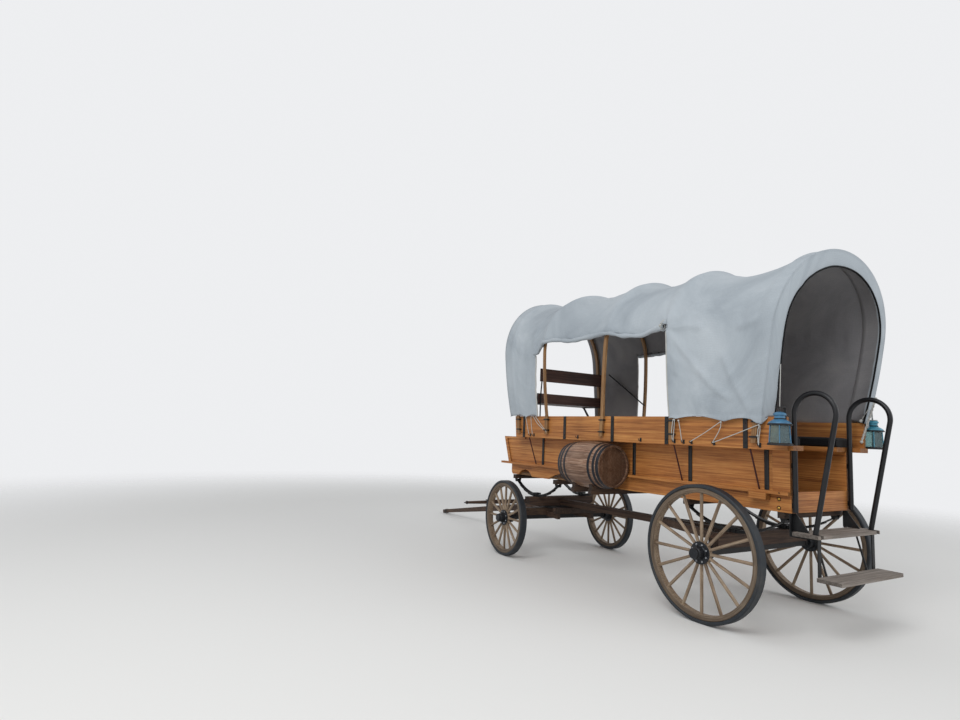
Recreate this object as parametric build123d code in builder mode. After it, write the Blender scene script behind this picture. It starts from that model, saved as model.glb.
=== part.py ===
from build123d import *
import os
from math import asin, atan2, cos, degrees, hypot, radians, sin, tan

os.makedirs("parts", exist_ok=True)

# Covered wagon on side springs, in millimetres.
# +X points forward, +Y to the left and +Z up; the wheels stand on z = 0.
# The origin lies midway between the tongue's tip and the back of the lower step.

# Wheels and axles
rear_axle_x = -2738
wheelbase = 2822
track = 1602
rear_wheel_radius = 559
front_wheel_radius = 447
tyre_width = 82
tyre_thickness = 30
tyre_bevel = 7
felloe_width = 74
felloe_depth = 41
spoke_count = 16
spoke_foot_width = 24
spoke_foot_depth = 34
spoke_tip_width = 28
spoke_tip_depth = 26
flange_radius = 92
flange_thickness = 9
hub_radius = 52
nose_radius = 50
hub_outer_reach = 110
hub_inner_reach = 96
spindle_radius = 22
running_clearance = 0.05
axle_bar = 50
axle_collar_radius = 36
axle_gap = 4
bed_width = 100
steering_at_rest = -4.8

# Box
box_width = 860
side_thickness = 32
box_bottom_z = 939
ledge_z = 1104
box_top_z = 1434
rear_overhang = 561
box_length = 4043
front_rake = 113
floor_thickness = 25
sill_thickness = 25
ledge_depth = 48
ledge_height = 26
batten_thickness = 14
bearer_width = 60
bearer_height = 50

# Benches, upper boards and seat
spread_width = 1180
board_thickness = 25
board_top_z = 1696
hook_z = 1770
board_length = 3670
bench_thickness = 40
bench_inner_y = 250
bench_length = 3110
cushion_height = 88
seat_depth = 400
seat_z = 1895

# Bows and canvas
bow_thickness = 24
bow_width = 45
strap_thickness = 6
bow_gap = strap_thickness + 1
bow_skew = 190
second_bow_skew = 400
canvas_thickness = 6
canvas_gap = 3
canvas_rest = bow_width / 2 + 5
canvas_sag = 85
ridge_gap = 8
canvas_belly = 36
canvas_shoulder = 0.5
canvas_flange_side = 100
canvas_flange_top = 140
canvas_flange_set = 30
window_top_z = 2530
roll_radius = 24

# Barrel
barrel_length = 635
barrel_radius = 245
barrel_head_radius = 212
barrel_z = 1184
barrel_back = 1165

# Steps and rails
upper_step_z = 800
lower_step_z = 490
step_thickness = 27
upper_step_depth = 215
lower_step_depth = 195
step_width = 920
rail_radius = 20
rail_bend_radius = 165
rail_top_z = 1910
rail_y = 414

# Tongue and trees
tongue_length = 3050
tongue_pivot_ahead = 600
tongue_pivot_z = 490
tongue_root_width = 84
tongue_root_height = 90
tongue_tip_width = 52
tongue_tip_height = 56
tree_ahead = 330
tree_spacing = 960
singletree_length = 660
singletree_ahead = 160

# Places worked out from the sizes above
front_axle_x = rear_axle_x + wheelbase
box_rear_x = rear_axle_x - rear_overhang
box_front_x = box_rear_x + box_length
side_y = box_width / 2
inner_y = side_y - side_thickness
spread_y = spread_width / 2
board_inner_y = spread_y - board_thickness
bench_top_z = box_top_z + bench_thickness
bench_rear_x = box_rear_x - 100
board_rear_x = bench_rear_x + 30
board_front_x = board_rear_x + board_length
floor_z = box_bottom_z + 6 + floor_thickness
bearer_z = box_bottom_z - bearer_height
king_axis = Axis((front_axle_x, 0, 0), (0, 0, 1))


# Wheels: each is drawn flat about the origin, its axle along +Z, then set in place
def turned_ring(outer, inner, half_width, bevel):
    """A ring about Z with its four corners bevelled."""
    with BuildPart() as ring:
        with BuildSketch(Plane.XZ):
            with BuildLine():
                Polyline(
                    (inner, half_width - bevel),
                    (inner + bevel, half_width),
                    (outer - bevel, half_width),
                    (outer, half_width - bevel),
                    (outer, bevel - half_width),
                    (outer - bevel, -half_width),
                    (inner + bevel, -half_width),
                    (inner, bevel - half_width),
                    close=True,
                )
            make_face()
        revolve(axis=Axis.Z)
    return ring.part


def spoked_wheel(radius):
    """Felloe ring and tapered oval spokes, open where the hub is clamped."""
    felloe_outer = radius - tyre_thickness
    felloe_inner = felloe_outer - felloe_depth
    with BuildPart() as wheel:
        add(turned_ring(felloe_outer, felloe_inner, felloe_width / 2, 6))
        for turn in range(spoke_count):
            angle = 360 / spoke_count * turn
            outward = Vector(1, 0, 0).rotate(Axis.Z, angle)
            across = outward.rotate(Axis.Z, 90)
            foot = Plane(outward * (hub_radius + 1), x_dir=across, z_dir=outward)
            tip = Plane(outward * (felloe_inner + 5), x_dir=across, z_dir=outward)
            with BuildSketch(foot):
                Ellipse(spoke_foot_width / 2, spoke_foot_depth / 2)
            with BuildSketch(tip):
                Ellipse(spoke_tip_width / 2, spoke_tip_depth / 2)
            loft()
        with BuildSketch(Plane.XY.offset(-spoke_foot_depth / 2)):
            Circle(flange_radius)
            Circle(hub_radius, mode=Mode.SUBTRACT)
        extrude(amount=spoke_foot_depth)
    return wheel.part


def metal_hub():
    """Two clamping flanges on a barrel with a stepped nose and a cap, bored for the spindle."""
    flange_face = spoke_foot_depth / 2
    flange_back = flange_face + flange_thickness
    with BuildPart() as hub:
        with BuildSketch(Plane.XZ):
            with BuildLine():
                Polyline(
                    (0, hub_outer_reach),
                    (nose_radius - 9, hub_outer_reach),
                    (nose_radius - 6, hub_outer_reach - 4),
                    (nose_radius - 6, hub_outer_reach - 26),
                    (nose_radius, hub_outer_reach - 30),
                    (nose_radius + 4, flange_back + 6),
                    (nose_radius + 10, flange_back),
                    (flange_radius, flange_back),
                    (flange_radius, flange_face),
                    (hub_radius, flange_face),
                    (hub_radius, -flange_face),
                    (flange_radius, -flange_face),
                    (flange_radius, -flange_back),
                    (nose_radius + 16, -flange_back),
                    (nose_radius + 12, -flange_back - 8),
                    (nose_radius + 8, -hub_inner_reach),
                    (0, -hub_inner_reach),
                    close=True,
                )
            make_face()
        revolve(axis=Axis.Z)
        with Locations((0, 0, -hub_inner_reach)):
            Cylinder(
                spindle_radius + running_clearance,
                hub_inner_reach + hub_outer_reach - 24,
                align=(Align.CENTER, Align.CENTER, Align.MIN),
                mode=Mode.SUBTRACT,
            )
    return hub.part


# name, axle x, side of the wagon, radius, whether it turns with the front gear
wheel_places = (
    ("rear_left", rear_axle_x, 1, rear_wheel_radius, False),
    ("rear_right", rear_axle_x, -1, rear_wheel_radius, False),
    ("front_left", front_axle_x, 1, front_wheel_radius, True),
    ("front_right", front_axle_x, -1, front_wheel_radius, True),
)
hub_form = metal_hub()
wheel_forms = {}
for radius in (rear_wheel_radius, front_wheel_radius):
    wheel_forms[radius] = (
        ("tyre", turned_ring(radius, radius - tyre_thickness, tyre_width / 2, tyre_bevel)),
        ("wheel", spoked_wheel(radius)),
        ("hub", hub_form),
    )
for corner, axle_x, side, radius, steered in wheel_places:
    wheel_plane = Plane((axle_x, side * track / 2, radius), x_dir=(1, 0, 0), z_dir=(0, side, 0))
    for piece, form in wheel_forms[radius]:
        placed = wheel_plane.location * form
        if steered:
            placed = placed.rotate(king_axis, steering_at_rest)
        placed.label = f"{piece}_{corner}"
        export_step(placed, f"parts/{piece}_{corner}.step")


# Axles: a square iron bar that ends in round spindles
def axle(axle_x, radius):
    bar_end = track / 2 - hub_inner_reach - axle_gap - 30
    spindle_end = track / 2 + hub_outer_reach - 30
    with BuildPart() as bar:
        with Locations((axle_x, 0, radius)):
            Box(axle_bar, 2 * bar_end, axle_bar)
        for side in (1, -1):
            collar_plane = Plane((axle_x, side * bar_end, radius), z_dir=(0, side, 0))
            with BuildSketch(collar_plane):
                Circle(axle_collar_radius)
            extrude(amount=30)
            with BuildSketch(collar_plane):
                Circle(spindle_radius)
            extrude(amount=spindle_end - bar_end)
    return bar.part


bed_half = track / 2 - hub_inner_reach - axle_gap - 50
rear_bed_bottom = rear_wheel_radius + axle_bar / 2
rear_bed_top = rear_bed_bottom + 118
front_bed_bottom = front_wheel_radius + axle_bar / 2
front_bed_top = front_bed_bottom + 88
plate_thickness = 12
plate_gap = 1
bolster_bottom = front_bed_top + 2 * plate_thickness + plate_gap
bolster_top = bolster_bottom + 112
bolster_half = 520

with BuildPart() as rear_axle:
    add(axle(rear_axle_x, rear_wheel_radius))
rear_axle.part.label = "rear_axle"
export_step(rear_axle.part, "parts/rear_axle.step")

with BuildPart() as rear_axle_bed:
    with BuildSketch(Plane.YZ.offset(rear_axle_x - bed_width / 2)):
        with BuildLine():
            Polyline(
                (-bed_half, rear_bed_bottom),
                (-bed_half, rear_bed_top - 34),
                (-bed_half + 90, rear_bed_top),
                (bed_half - 90, rear_bed_top),
                (bed_half, rear_bed_top - 34),
                (bed_half, rear_bed_bottom),
                close=True,
            )
        make_face()
    extrude(amount=bed_width)
rear_axle_bed.part.label = "rear_axle_bed"
export_step(rear_axle_bed.part, "parts/rear_axle_bed.step")

with BuildPart() as front_axle:
    add(axle(front_axle_x, front_wheel_radius))
front_axle.part = front_axle.part.rotate(king_axis, steering_at_rest)
front_axle.part.label = "front_axle"
export_step(front_axle.part, "parts/front_axle.step")

# Turntable: a plate ring under the bolster carries the king pin, its twin lies on the axle bed
ring_outer = 235
ring_inner = 178
pin_radius = 14
pin_bottom = front_bed_bottom + 6

with BuildPart() as turntable_upper:
    with BuildSketch(Plane.XY.offset(bolster_bottom - plate_thickness)):
        with Locations((front_axle_x, 0)):
            Circle(ring_outer)
            Circle(ring_inner, mode=Mode.SUBTRACT)
            Rectangle(70, 2 * ring_outer - 20)
    extrude(amount=plate_thickness)
    with BuildSketch(Plane.XY.offset(pin_bottom)):
        with Locations((front_axle_x, 0)):
            Circle(pin_radius)
    extrude(amount=bolster_bottom - plate_thickness - pin_bottom)
turntable_upper.part.label = "turntable_upper"
export_step(turntable_upper.part, "parts/turntable_upper.step")

with BuildPart() as turntable_lower:
    with BuildSketch(Plane.XY.offset(front_bed_top)):
        with Locations((front_axle_x, 0)):
            Circle(ring_outer)
            Circle(ring_inner, mode=Mode.SUBTRACT)
            Rectangle(70, 2 * ring_outer - 20)
            Circle(pin_radius + running_clearance, mode=Mode.SUBTRACT)
    extrude(amount=plate_thickness)
turntable_lower.part = turntable_lower.part.rotate(king_axis, steering_at_rest)
turntable_lower.part.label = "turntable_lower"
export_step(turntable_lower.part, "parts/turntable_lower.step")

with BuildPart() as front_axle_bed:
    with BuildSketch(Plane.YZ.offset(front_axle_x - bed_width / 2)):
        with BuildLine():
            Polyline(
                (-bed_half, front_bed_bottom),
                (-bed_half, front_bed_top - 40),
                (-bed_half + 110, front_bed_top),
                (bed_half - 110, front_bed_top),
                (bed_half, front_bed_top - 40),
                (bed_half, front_bed_bottom),
                close=True,
            )
        make_face()
    extrude(amount=bed_width)
    with Locations((front_axle_x, 0, front_bed_bottom)):
        Cylinder(
            pin_radius + running_clearance,
            front_bed_top - front_bed_bottom,
            align=(Align.CENTER, Align.CENTER, Align.MIN),
            mode=Mode.SUBTRACT,
        )
front_axle_bed.part = front_axle_bed.part.rotate(king_axis, steering_at_rest)
front_axle_bed.part.label = "front_axle_bed"
export_step(front_axle_bed.part, "parts/front_axle_bed.step")

# Front hounds: two converging arms, a slider bar behind and the tongue's pin in front
pivot_x = front_axle_x + tongue_pivot_ahead
hound_width = 42
hound_bottom = tongue_pivot_z - 32
hound_top = tongue_pivot_z + 32
jaw_y = tongue_root_width / 2 + 6
tongue_pin_radius = 12
reach_bottom = bolster_bottom + 8
slider_x = front_axle_x - 350
slider_reach = 300
slider_top = reach_bottom - 6

with BuildPart() as front_hounds:
    for side in (1, -1):
        with BuildSketch(Plane.XY.offset(hound_bottom)):
            with BuildLine():
                Polyline(
                    (front_axle_x + bed_width / 2, side * 190),
                    (front_axle_x + bed_width / 2, side * (190 + hound_width)),
                    (pivot_x - 90, side * (jaw_y + hound_width)),
                    (pivot_x + 50, side * (jaw_y + hound_width)),
                    (pivot_x + 50, side * jaw_y),
                    (pivot_x - 110, side * jaw_y),
                    close=True,
                )
            make_face()
        extrude(amount=hound_top - hound_bottom)
        with BuildSketch(Plane.XY.offset(hound_bottom)):
            with BuildLine():
                Polyline(
                    (front_axle_x - bed_width / 2, side * 190),
                    (front_axle_x - bed_width / 2, side * (190 + hound_width)),
                    (slider_x, side * (slider_reach - 30)),
                    (slider_x, side * (slider_reach - 30 - hound_width)),
                    close=True,
                )
            make_face()
        extrude(amount=hound_top - hound_bottom)
    with Locations((slider_x + 30, 0, (hound_top + slider_top) / 2)):
        Box(60, 2 * slider_reach, slider_top - hound_top)
    with BuildSketch(Plane.XZ.offset(-jaw_y - 1)):
        with Locations((pivot_x, tongue_pivot_z)):
            Circle(tongue_pin_radius)
    extrude(amount=2 * jaw_y + 2)
front_hounds.part = front_hounds.part.rotate(king_axis, steering_at_rest)
front_hounds.part.label = "front_hounds"
export_step(front_hounds.part, "parts/front_hounds.step")

# Bolster, reach and rear hounds: the fixed timbers of the gear
with BuildPart() as front_bolster:
    with BuildSketch(Plane.YZ.offset(front_axle_x - bed_width / 2)):
        with BuildLine():
            Polyline(
                (-bolster_half, bolster_bottom + 30),
                (-bolster_half, bolster_top),
                (bolster_half, bolster_top),
                (bolster_half, bolster_bottom + 30),
                (bolster_half - 120, bolster_bottom),
                (120 - bolster_half, bolster_bottom),
                close=True,
            )
        make_face()
    extrude(amount=bed_width)
front_bolster.part.label = "front_bolster"
export_step(front_bolster.part, "parts/front_bolster.step")

reach_width = 64
reach_top = reach_bottom + 74
reach_rear_x = rear_axle_x + bed_width / 2
reach_front_x = front_axle_x - bed_width / 2
hound_meet_x = rear_axle_x + 1150

with BuildPart() as reach:
    with BuildSketch(Plane.XY.offset(reach_bottom)):
        with BuildLine():
            Polyline(
                (reach_rear_x, -reach_width / 2),
                (reach_front_x, -reach_width / 2),
                (reach_front_x, reach_width / 2),
                (reach_rear_x, reach_width / 2),
                close=True,
            )
        make_face()
        for side in (1, -1):
            with BuildLine():
                Polyline(
                    (reach_rear_x, side * 400),
                    (reach_rear_x, side * 345),
                    (hound_meet_x - 160, side * reach_width / 2),
                    (hound_meet_x, side * reach_width / 2),
                    close=True,
                )
            make_face()
    extrude(amount=reach_top - reach_bottom)
reach.part.label = "reach"
export_step(reach.part, "parts/reach.step")

# Side springs: concentric leaves that get shorter downwards, an eye at each end
leaf_thickness = 7
leaf_count = 4
leaf_width = 50
spring_y = 372
eye_radius = 16
eye_hole = 8
hanger_thickness = 8


def side_springs(axle_x, seat_z_here, half_chord):
    """A pair of semi-elliptic springs that stand on a timber at seat_z_here."""
    eye_z = bearer_z - eye_radius - 8
    main_z = seat_z_here + leaf_count * leaf_thickness
    rise = eye_z - main_z + eye_radius / 2
    inner = (half_chord**2 + rise**2) / (2 * rise)
    centre = (axle_x, main_z + inner)
    sweep_half = degrees(asin(half_chord / inner))
    with BuildPart() as pair:
        with BuildSketch(Plane.XZ.offset(-leaf_width / 2)):
            for leaf in range(leaf_count):
                near = inner + leaf * leaf_thickness
                far = near + leaf_thickness
                half = sweep_half * (1 - leaf / (leaf_count + 0.6))
                with BuildLine():
                    lower = CenterArc(centre, far, 270 - half, 2 * half)
                    upper = CenterArc(centre, near, 270 - half, 2 * half)
                    Line(lower @ 0, upper @ 0)
                    Line(lower @ 1, upper @ 1)
                make_face()
            with Locations((axle_x - half_chord, eye_z), (axle_x + half_chord, eye_z)):
                Circle(eye_radius)
                Circle(eye_hole, mode=Mode.SUBTRACT)
        extrude(amount=leaf_width)
        with Locations((axle_x, 0, main_z + 12)):
            Box(70, leaf_width + 24, 16)
        for end in (-27, 27):
            for edge in (1, -1):
                with Locations((axle_x + end, edge * (leaf_width / 2 + 6), seat_z_here)):
                    Cylinder(5, main_z + 20 - seat_z_here, align=(Align.CENTER, Align.CENTER, Align.MIN))
    return pair.part


rear_chord = 470
front_chord = 415
with BuildPart() as rear_springs:
    with Locations((0, spring_y, 0), (0, -spring_y, 0)):
        add(side_springs(rear_axle_x, rear_bed_top, rear_chord))
rear_springs.part.label = "rear_springs"
export_step(rear_springs.part, "parts/rear_springs.step")

with BuildPart() as front_springs:
    with Locations((0, spring_y, 0), (0, -spring_y, 0)):
        add(side_springs(front_axle_x, bolster_top, front_chord))
front_springs.part.label = "front_springs"
export_step(front_springs.part, "parts/front_springs.step")

spring_ends = (
    rear_axle_x - rear_chord,
    rear_axle_x + rear_chord,
    front_axle_x - front_chord,
    front_axle_x + front_chord,
)
eye_z = bearer_z - eye_radius - 8
with BuildPart() as spring_hangers:
    for end_x in spring_ends:
        for side in (1, -1):
            for cheek in (1, -1):
                cheek_y = side * spring_y + cheek * (leaf_width / 2 + hanger_thickness / 2 + 1)
                with BuildSketch(Plane.XZ.offset(-cheek_y - hanger_thickness / 2)):
                    with BuildLine():
                        Polyline(
                            (end_x - 26, bearer_z),
                            (end_x + 26, bearer_z),
                            (end_x + 17, eye_z),
                            (end_x - 17, eye_z),
                            close=True,
                        )
                    make_face()
                    with Locations((end_x, eye_z)):
                        Circle(17)
                extrude(amount=hanger_thickness)
            with BuildSketch(Plane.XZ.offset(-side * spring_y - leaf_width / 2 - 12)):
                with Locations((end_x, eye_z)):
                    Circle(eye_hole - 0.3)
            extrude(amount=leaf_width + 24)
spring_hangers.part.label = "spring_hangers"
export_step(spring_hangers.part, "parts/spring_hangers.step")

# Box bottom: floor boards between the sides, bearers across underneath
barrel_y = side_y + barrel_radius
barrel_centre_x = rear_axle_x + barrel_back + barrel_length / 2
barrel_bearers = (barrel_centre_x - 130, barrel_centre_x + 130)
bearer_reach = barrel_y + 150
cradle_height = 52
cradle_radius = barrel_radius - 5.6

rake = front_rake / (box_top_z - ledge_z)
front_set = 30
front_board_thickness = 25
front_foot_x = box_front_x - front_rake - rake * (ledge_z - floor_z) - front_set
front_heel_x = front_foot_x - front_board_thickness
with BuildPart() as floor_boards:
    with BuildSketch(Plane.XZ.offset(-inner_y)):
        with BuildLine():
            Polyline(
                (box_rear_x + sill_thickness, floor_z - floor_thickness),
                (front_heel_x - rake * floor_thickness, floor_z - floor_thickness),
                (front_heel_x, floor_z),
                (box_rear_x + sill_thickness, floor_z),
                close=True,
            )
        make_face()
    extrude(amount=2 * inner_y)
floor_boards.part.label = "floor_boards"
export_step(floor_boards.part, "parts/floor_boards.step")

with BuildPart() as floor_bearers:
    for end_x in spring_ends:
        with Locations((end_x, 0, bearer_z + bearer_height / 2)):
            Box(bearer_width, box_width, bearer_height)
    for cross_x in barrel_bearers:
        with Locations((cross_x, (bearer_reach - side_y) / 2, bearer_z + bearer_height / 2)):
            Box(bearer_width - 12, bearer_reach + side_y, bearer_height)
        with Locations((cross_x, barrel_y, box_bottom_z + cradle_height / 2)):
            Box(bearer_width - 12, 280, cradle_height)
    for joist_y in (-240, 0, 240):
        with Locations(((spring_ends[0] + spring_ends[3]) / 2, joist_y, box_bottom_z + 3)):
            Box(spring_ends[3] - spring_ends[0] + bearer_width, 60, 6)
    with BuildSketch(Plane.YZ.offset(barrel_bearers[0] - bearer_width)):
        with Locations((barrel_y, barrel_z)):
            Circle(cradle_radius)
    extrude(amount=barrel_bearers[1] - barrel_bearers[0] + 2 * bearer_width, mode=Mode.SUBTRACT)
floor_bearers.part.label = "floor_bearers"
export_step(floor_bearers.part, "parts/floor_bearers.step")

# Sides: raked at the front, the skirt under the ledge scooped clear of the turning front wheels
skirt_front_x = box_front_x - front_rake - 60
lobe_z = box_bottom_z + 8
front_lobe_x = front_axle_x + 330
scoop_x = front_axle_x + 160
lobe_front_x = front_axle_x + 50
lobe_rear_x = front_axle_x - 290
arch_x = front_axle_x - 620
arch_end_x = front_axle_x - 900
arch_top_z = box_bottom_z + 84

with BuildPart() as side_left:
    with BuildSketch(Plane.XZ.offset(-side_y)):
        with BuildLine():
            Polyline(
                (arch_end_x, box_bottom_z),
                (box_rear_x, box_bottom_z),
                (box_rear_x, box_top_z),
                (box_front_x, box_top_z),
                (box_front_x - front_rake, ledge_z),
                (skirt_front_x, ledge_z - ledge_height),
                (skirt_front_x, box_bottom_z + 50),
            )
            TangentArc((skirt_front_x, box_bottom_z + 50), (skirt_front_x - 60, lobe_z), tangent=(0, -1))
            Line((skirt_front_x - 60, lobe_z), (front_lobe_x, lobe_z))
            ThreePointArc((front_lobe_x, lobe_z), (scoop_x, lobe_z + 70), (lobe_front_x, lobe_z))
            Line((lobe_front_x, lobe_z), (lobe_front_x - 20, box_bottom_z))
            Line((lobe_front_x - 20, box_bottom_z), (lobe_rear_x, box_bottom_z))
            ThreePointArc((lobe_rear_x, box_bottom_z), (arch_x, arch_top_z), (arch_end_x, box_bottom_z))
        make_face()
    extrude(amount=side_thickness)
side_left.part.label = "side_left"
export_step(side_left.part, "parts/side_left.step")

with BuildPart() as side_right:
    mirror(side_left.part, about=Plane.XZ)
side_right.part.label = "side_right"
export_step(side_right.part, "parts/side_right.step")

with BuildPart() as end_boards:
    with BuildSketch(Plane.XZ.offset(-inner_y)):
        with BuildLine():
            Polyline(
                (front_foot_x - rake * floor_thickness, floor_z - floor_thickness),
                (box_front_x - front_set, box_top_z),
                (box_front_x - front_set - front_board_thickness, box_top_z),
                (front_heel_x - rake * floor_thickness, floor_z - floor_thickness),
                close=True,
            )
        make_face()
    extrude(amount=2 * inner_y)
    with BuildSketch(Plane.YZ.offset(box_rear_x)):
        with Locations((0, (box_bottom_z + ledge_z) / 2)):
            Rectangle(2 * inner_y, ledge_z - box_bottom_z)
    extrude(amount=sill_thickness)
end_boards.part.label = "end_boards"
export_step(end_boards.part, "parts/end_boards.step")

# Ledges, posts and rails planted on the sides
barrel_rear_x = rear_axle_x + barrel_back
barrel_front_x = barrel_rear_x + barrel_length
ledge_front_x = box_front_x - front_rake + 125
# side, back x, front x of each ledge strip
ledge_runs = (
    (1, box_rear_x, barrel_rear_x - 4),
    (1, barrel_front_x + 40, ledge_front_x),
    (-1, box_rear_x, ledge_front_x),
)
rear_post_width = 150
top_rail_back = front_axle_x + 190

with BuildPart() as side_battens:
    for side, back_x, fore_x in ledge_runs:
        ledge_y = side * (side_y + ledge_depth / 2)
        with Locations(((back_x + fore_x) / 2, ledge_y, ledge_z - ledge_height / 2)):
            Box(fore_x - back_x, ledge_depth, ledge_height)
    for side in (1, -1):
        batten_plane = Plane.XZ.offset(-side_y - batten_thickness if side > 0 else side_y)
        with BuildSketch(batten_plane):
            with BuildLine():
                Polyline(
                    (box_rear_x, ledge_z),
                    (box_rear_x + rear_post_width, ledge_z),
                    (box_rear_x + rear_post_width, box_top_z),
                    (box_rear_x, box_top_z),
                    close=True,
                )
            make_face()
            with BuildLine():
                Polyline(
                    (box_front_x - front_rake, ledge_z),
                    (box_front_x, box_top_z),
                    (top_rail_back, box_top_z),
                    (top_rail_back, box_top_z - 26),
                    (box_front_x - 62, box_top_z - 26),
                    (box_front_x - front_rake - 55, ledge_z),
                    close=True,
                )
            make_face()
        extrude(amount=batten_thickness)
        with Locations((rear_axle_x - 305, side * (side_y + 34), ledge_z - ledge_height - 25)):
            Box(155, 68, 50)
side_battens.part.label = "side_battens"
export_step(side_battens.part, "parts/side_battens.step")

# Benches: one board each side, its outer edge forming the overhang that carries the upper board
rail_clearance = 5
overhang_y = rail_y + rail_radius + rail_clearance
with BuildPart() as benches:
    for side in (1, -1):
        with BuildSketch(Plane.XY.offset(box_top_z)):
            with BuildLine():
                Polyline(
                    (bench_rear_x, side * overhang_y),
                    (bench_rear_x, side * board_inner_y),
                    (board_front_x, side * board_inner_y),
                    (board_front_x, side * inner_y),
                    (box_rear_x + bench_length, side * inner_y),
                    (box_rear_x + bench_length, side * bench_inner_y),
                    (box_rear_x, side * bench_inner_y),
                    (box_rear_x, side * overhang_y),
                    close=True,
                )
            make_face()
        extrude(amount=bench_thickness)
benches.part.label = "benches"
export_step(benches.part, "parts/benches.step")

cushion_length = bench_length - 40
for name, side in (("cushion_left", 1), ("cushion_right", -1)):
    with BuildPart() as cushion:
        with Locations((box_rear_x + 10, side * (bench_inner_y + 150), bench_top_z)):
            Box(cushion_length, 300, cushion_height, align=(Align.MIN, Align.CENTER, Align.MIN))
        fillet(cushion.edges().filter_by(Axis.X).group_by(Axis.Z)[-1], 25)
    cushion.part.label = name
    export_step(cushion.part, f"parts/{name}.step")

for name, side in (("upper_board_left", 1), ("upper_board_right", -1)):
    with BuildPart() as board:
        with BuildSketch(Plane.XZ.offset(-side * spread_y if side > 0 else board_inner_y)):
            with BuildLine():
                Polyline(
                    (board_rear_x, box_top_z),
                    (board_front_x - 28, box_top_z),
                    (board_front_x, board_top_z),
                    (board_rear_x, board_top_z),
                    close=True,
                )
            make_face()
        extrude(amount=board_thickness)
    board.part.label = name
    export_step(board.part, f"parts/{name}.step")

# Iron straps: flat ones on the upper boards, half-round ones on the sides
upper_straps = (2840, 2050, 1280, 560, -270)
side_straps = (2640, 1120, 416, -354)
strap_width = 42

# Brace rods from the ledge out to the edge of the overhang
brace_places = (2750, 490, -300)
rod_radius = 7
with BuildPart() as brace_rods:
    for brace_back in brace_places:
        for side in (1, -1):
            foot = Vector(rear_axle_x + brace_back, side * (side_y + 24), ledge_z)
            head = Vector(rear_axle_x + brace_back, side * (board_inner_y + 8), box_top_z)
            run = head - foot
            with BuildSketch(Plane(foot, z_dir=run)):
                Circle(rod_radius)
            extrude(amount=run.length)
    split(bisect_by=Plane.XY.offset(ledge_z), keep=Keep.TOP)
    split(bisect_by=Plane.XY.offset(box_top_z), keep=Keep.BOTTOM)
brace_rods.part.label = "brace_rods"
export_step(brace_rods.part, "parts/brace_rods.step")

# Bows and canvas share one arch: legs that bow out a little, then half an ellipse.
# The arches stand askew, each right foot some way behind the left one.
# left foot x, crown x and crown z of each station, and its skew, from the rear axle forward
front_end = board_front_x - rear_axle_x
stations = {
    "front_hem": (front_end + 36, front_end + 151, 3255, bow_skew),
    "bow_1": (front_end - 89, front_end + 21, 3235, bow_skew),
    "bow_2": (2370, 2200, 3215, second_bow_skew),
    "bow_3": (1415, 1190, 3190, bow_skew),
    "bow_4": (490, 395, 3160, bow_skew),
    "bow_5": (-385, -690, 3110, bow_skew),
    "rear_hem": (-445, -785, 3112, bow_skew),
}
for back, fore in (("bow_5", "bow_4"), ("bow_4", "bow_3"), ("bow_3", "bow_2"), ("bow_2", "bow_1")):
    foot_x, crown_x, crown_z, skew = ((a + b) / 2 for a, b in zip(stations[back], stations[fore]))
    stations[f"sag_{back}"] = (foot_x, crown_x, crown_z - canvas_sag, skew)
bow_outer_y = spread_y + bow_gap + bow_thickness
canvas_outer_y = bow_outer_y + canvas_gap + canvas_thickness


def skew_angle(name):
    return atan2(stations[name][3], 2 * bow_outer_y)


def station_rise(name):
    """Lean forward and rise of one arch from the middle of its feet to its crown."""
    foot_x, crown_x, crown_z, skew = stations[name]
    return (crown_x - foot_x + skew / 2) * cos(skew_angle(name)), crown_z - board_top_z


def station_plane(name):
    """Plane of one arch: x across to the left, y up the leaning leg, foot on the upper boards' top."""
    angle = skew_angle(name)
    lean, rise = station_rise(name)
    middle = (rear_axle_x + stations[name][0] - stations[name][3] / 2, 0, board_top_z)
    ahead = Vector(cos(angle), -sin(angle), 0)
    return Plane(middle, x_dir=(sin(angle), cos(angle), 0), z_dir=ahead * rise - Vector(0, 0, lean))


def station_height(name):
    return hypot(*station_rise(name))


def arch(name, foot_half, belly_half, height):
    """Open outline from the right foot over the crown to the left foot, half widths across the wagon."""
    foot = foot_half / cos(skew_angle(name))
    belly = belly_half / cos(skew_angle(name))
    shoulder = station_height(name) * canvas_shoulder
    # a leaning arch that stands askew would tip sideways, so its crown is set back over the middle
    upright = 0.75 * station_rise(name)[0] * tan(skew_angle(name))
    with BuildLine() as outline:
        crown = EllipticalCenterArc((upright, shoulder), belly, height - shoulder, 0, arc_size=180)
        TangentArc(crown @ 0, (foot, 0), tangent=(0, -1))
        TangentArc(crown @ 1, (-foot, 0), tangent=(0, -1))
    return outline.line


def foot_line(name, from_y, to_y):
    """Straight foot of a band, between two places across the wagon."""
    Line((from_y / cos(skew_angle(name)), 0), (to_y / cos(skew_angle(name)), 0))


def canvas_section(name, inset_side, inset_top, thickness):
    """Closed band between two arches, inset from the canvas's outer surface."""
    height = station_height(name) - inset_top
    outer_foot = canvas_outer_y - inset_side
    outer_belly = outer_foot + canvas_belly
    with BuildSketch() as band:
        with BuildLine():
            add(arch(name, outer_foot, outer_belly, height))
            add(arch(name, outer_foot - thickness, outer_belly - thickness, height - thickness))
            for side in (1, -1):
                foot_line(name, side * outer_foot, side * (outer_foot - thickness))
        make_face()
    return band.sketch


canvas_order = sorted(stations, key=lambda name: stations[name][0])
# side, rear edge x, front edge x of the two long windows
windows = (
    (1, rear_axle_x + 490, rear_axle_x + 2580),
    (-1, rear_axle_x + 490 - bow_skew, rear_axle_x + 2110),
)
roll_y = canvas_outer_y + canvas_belly + roll_radius - 3

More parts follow.
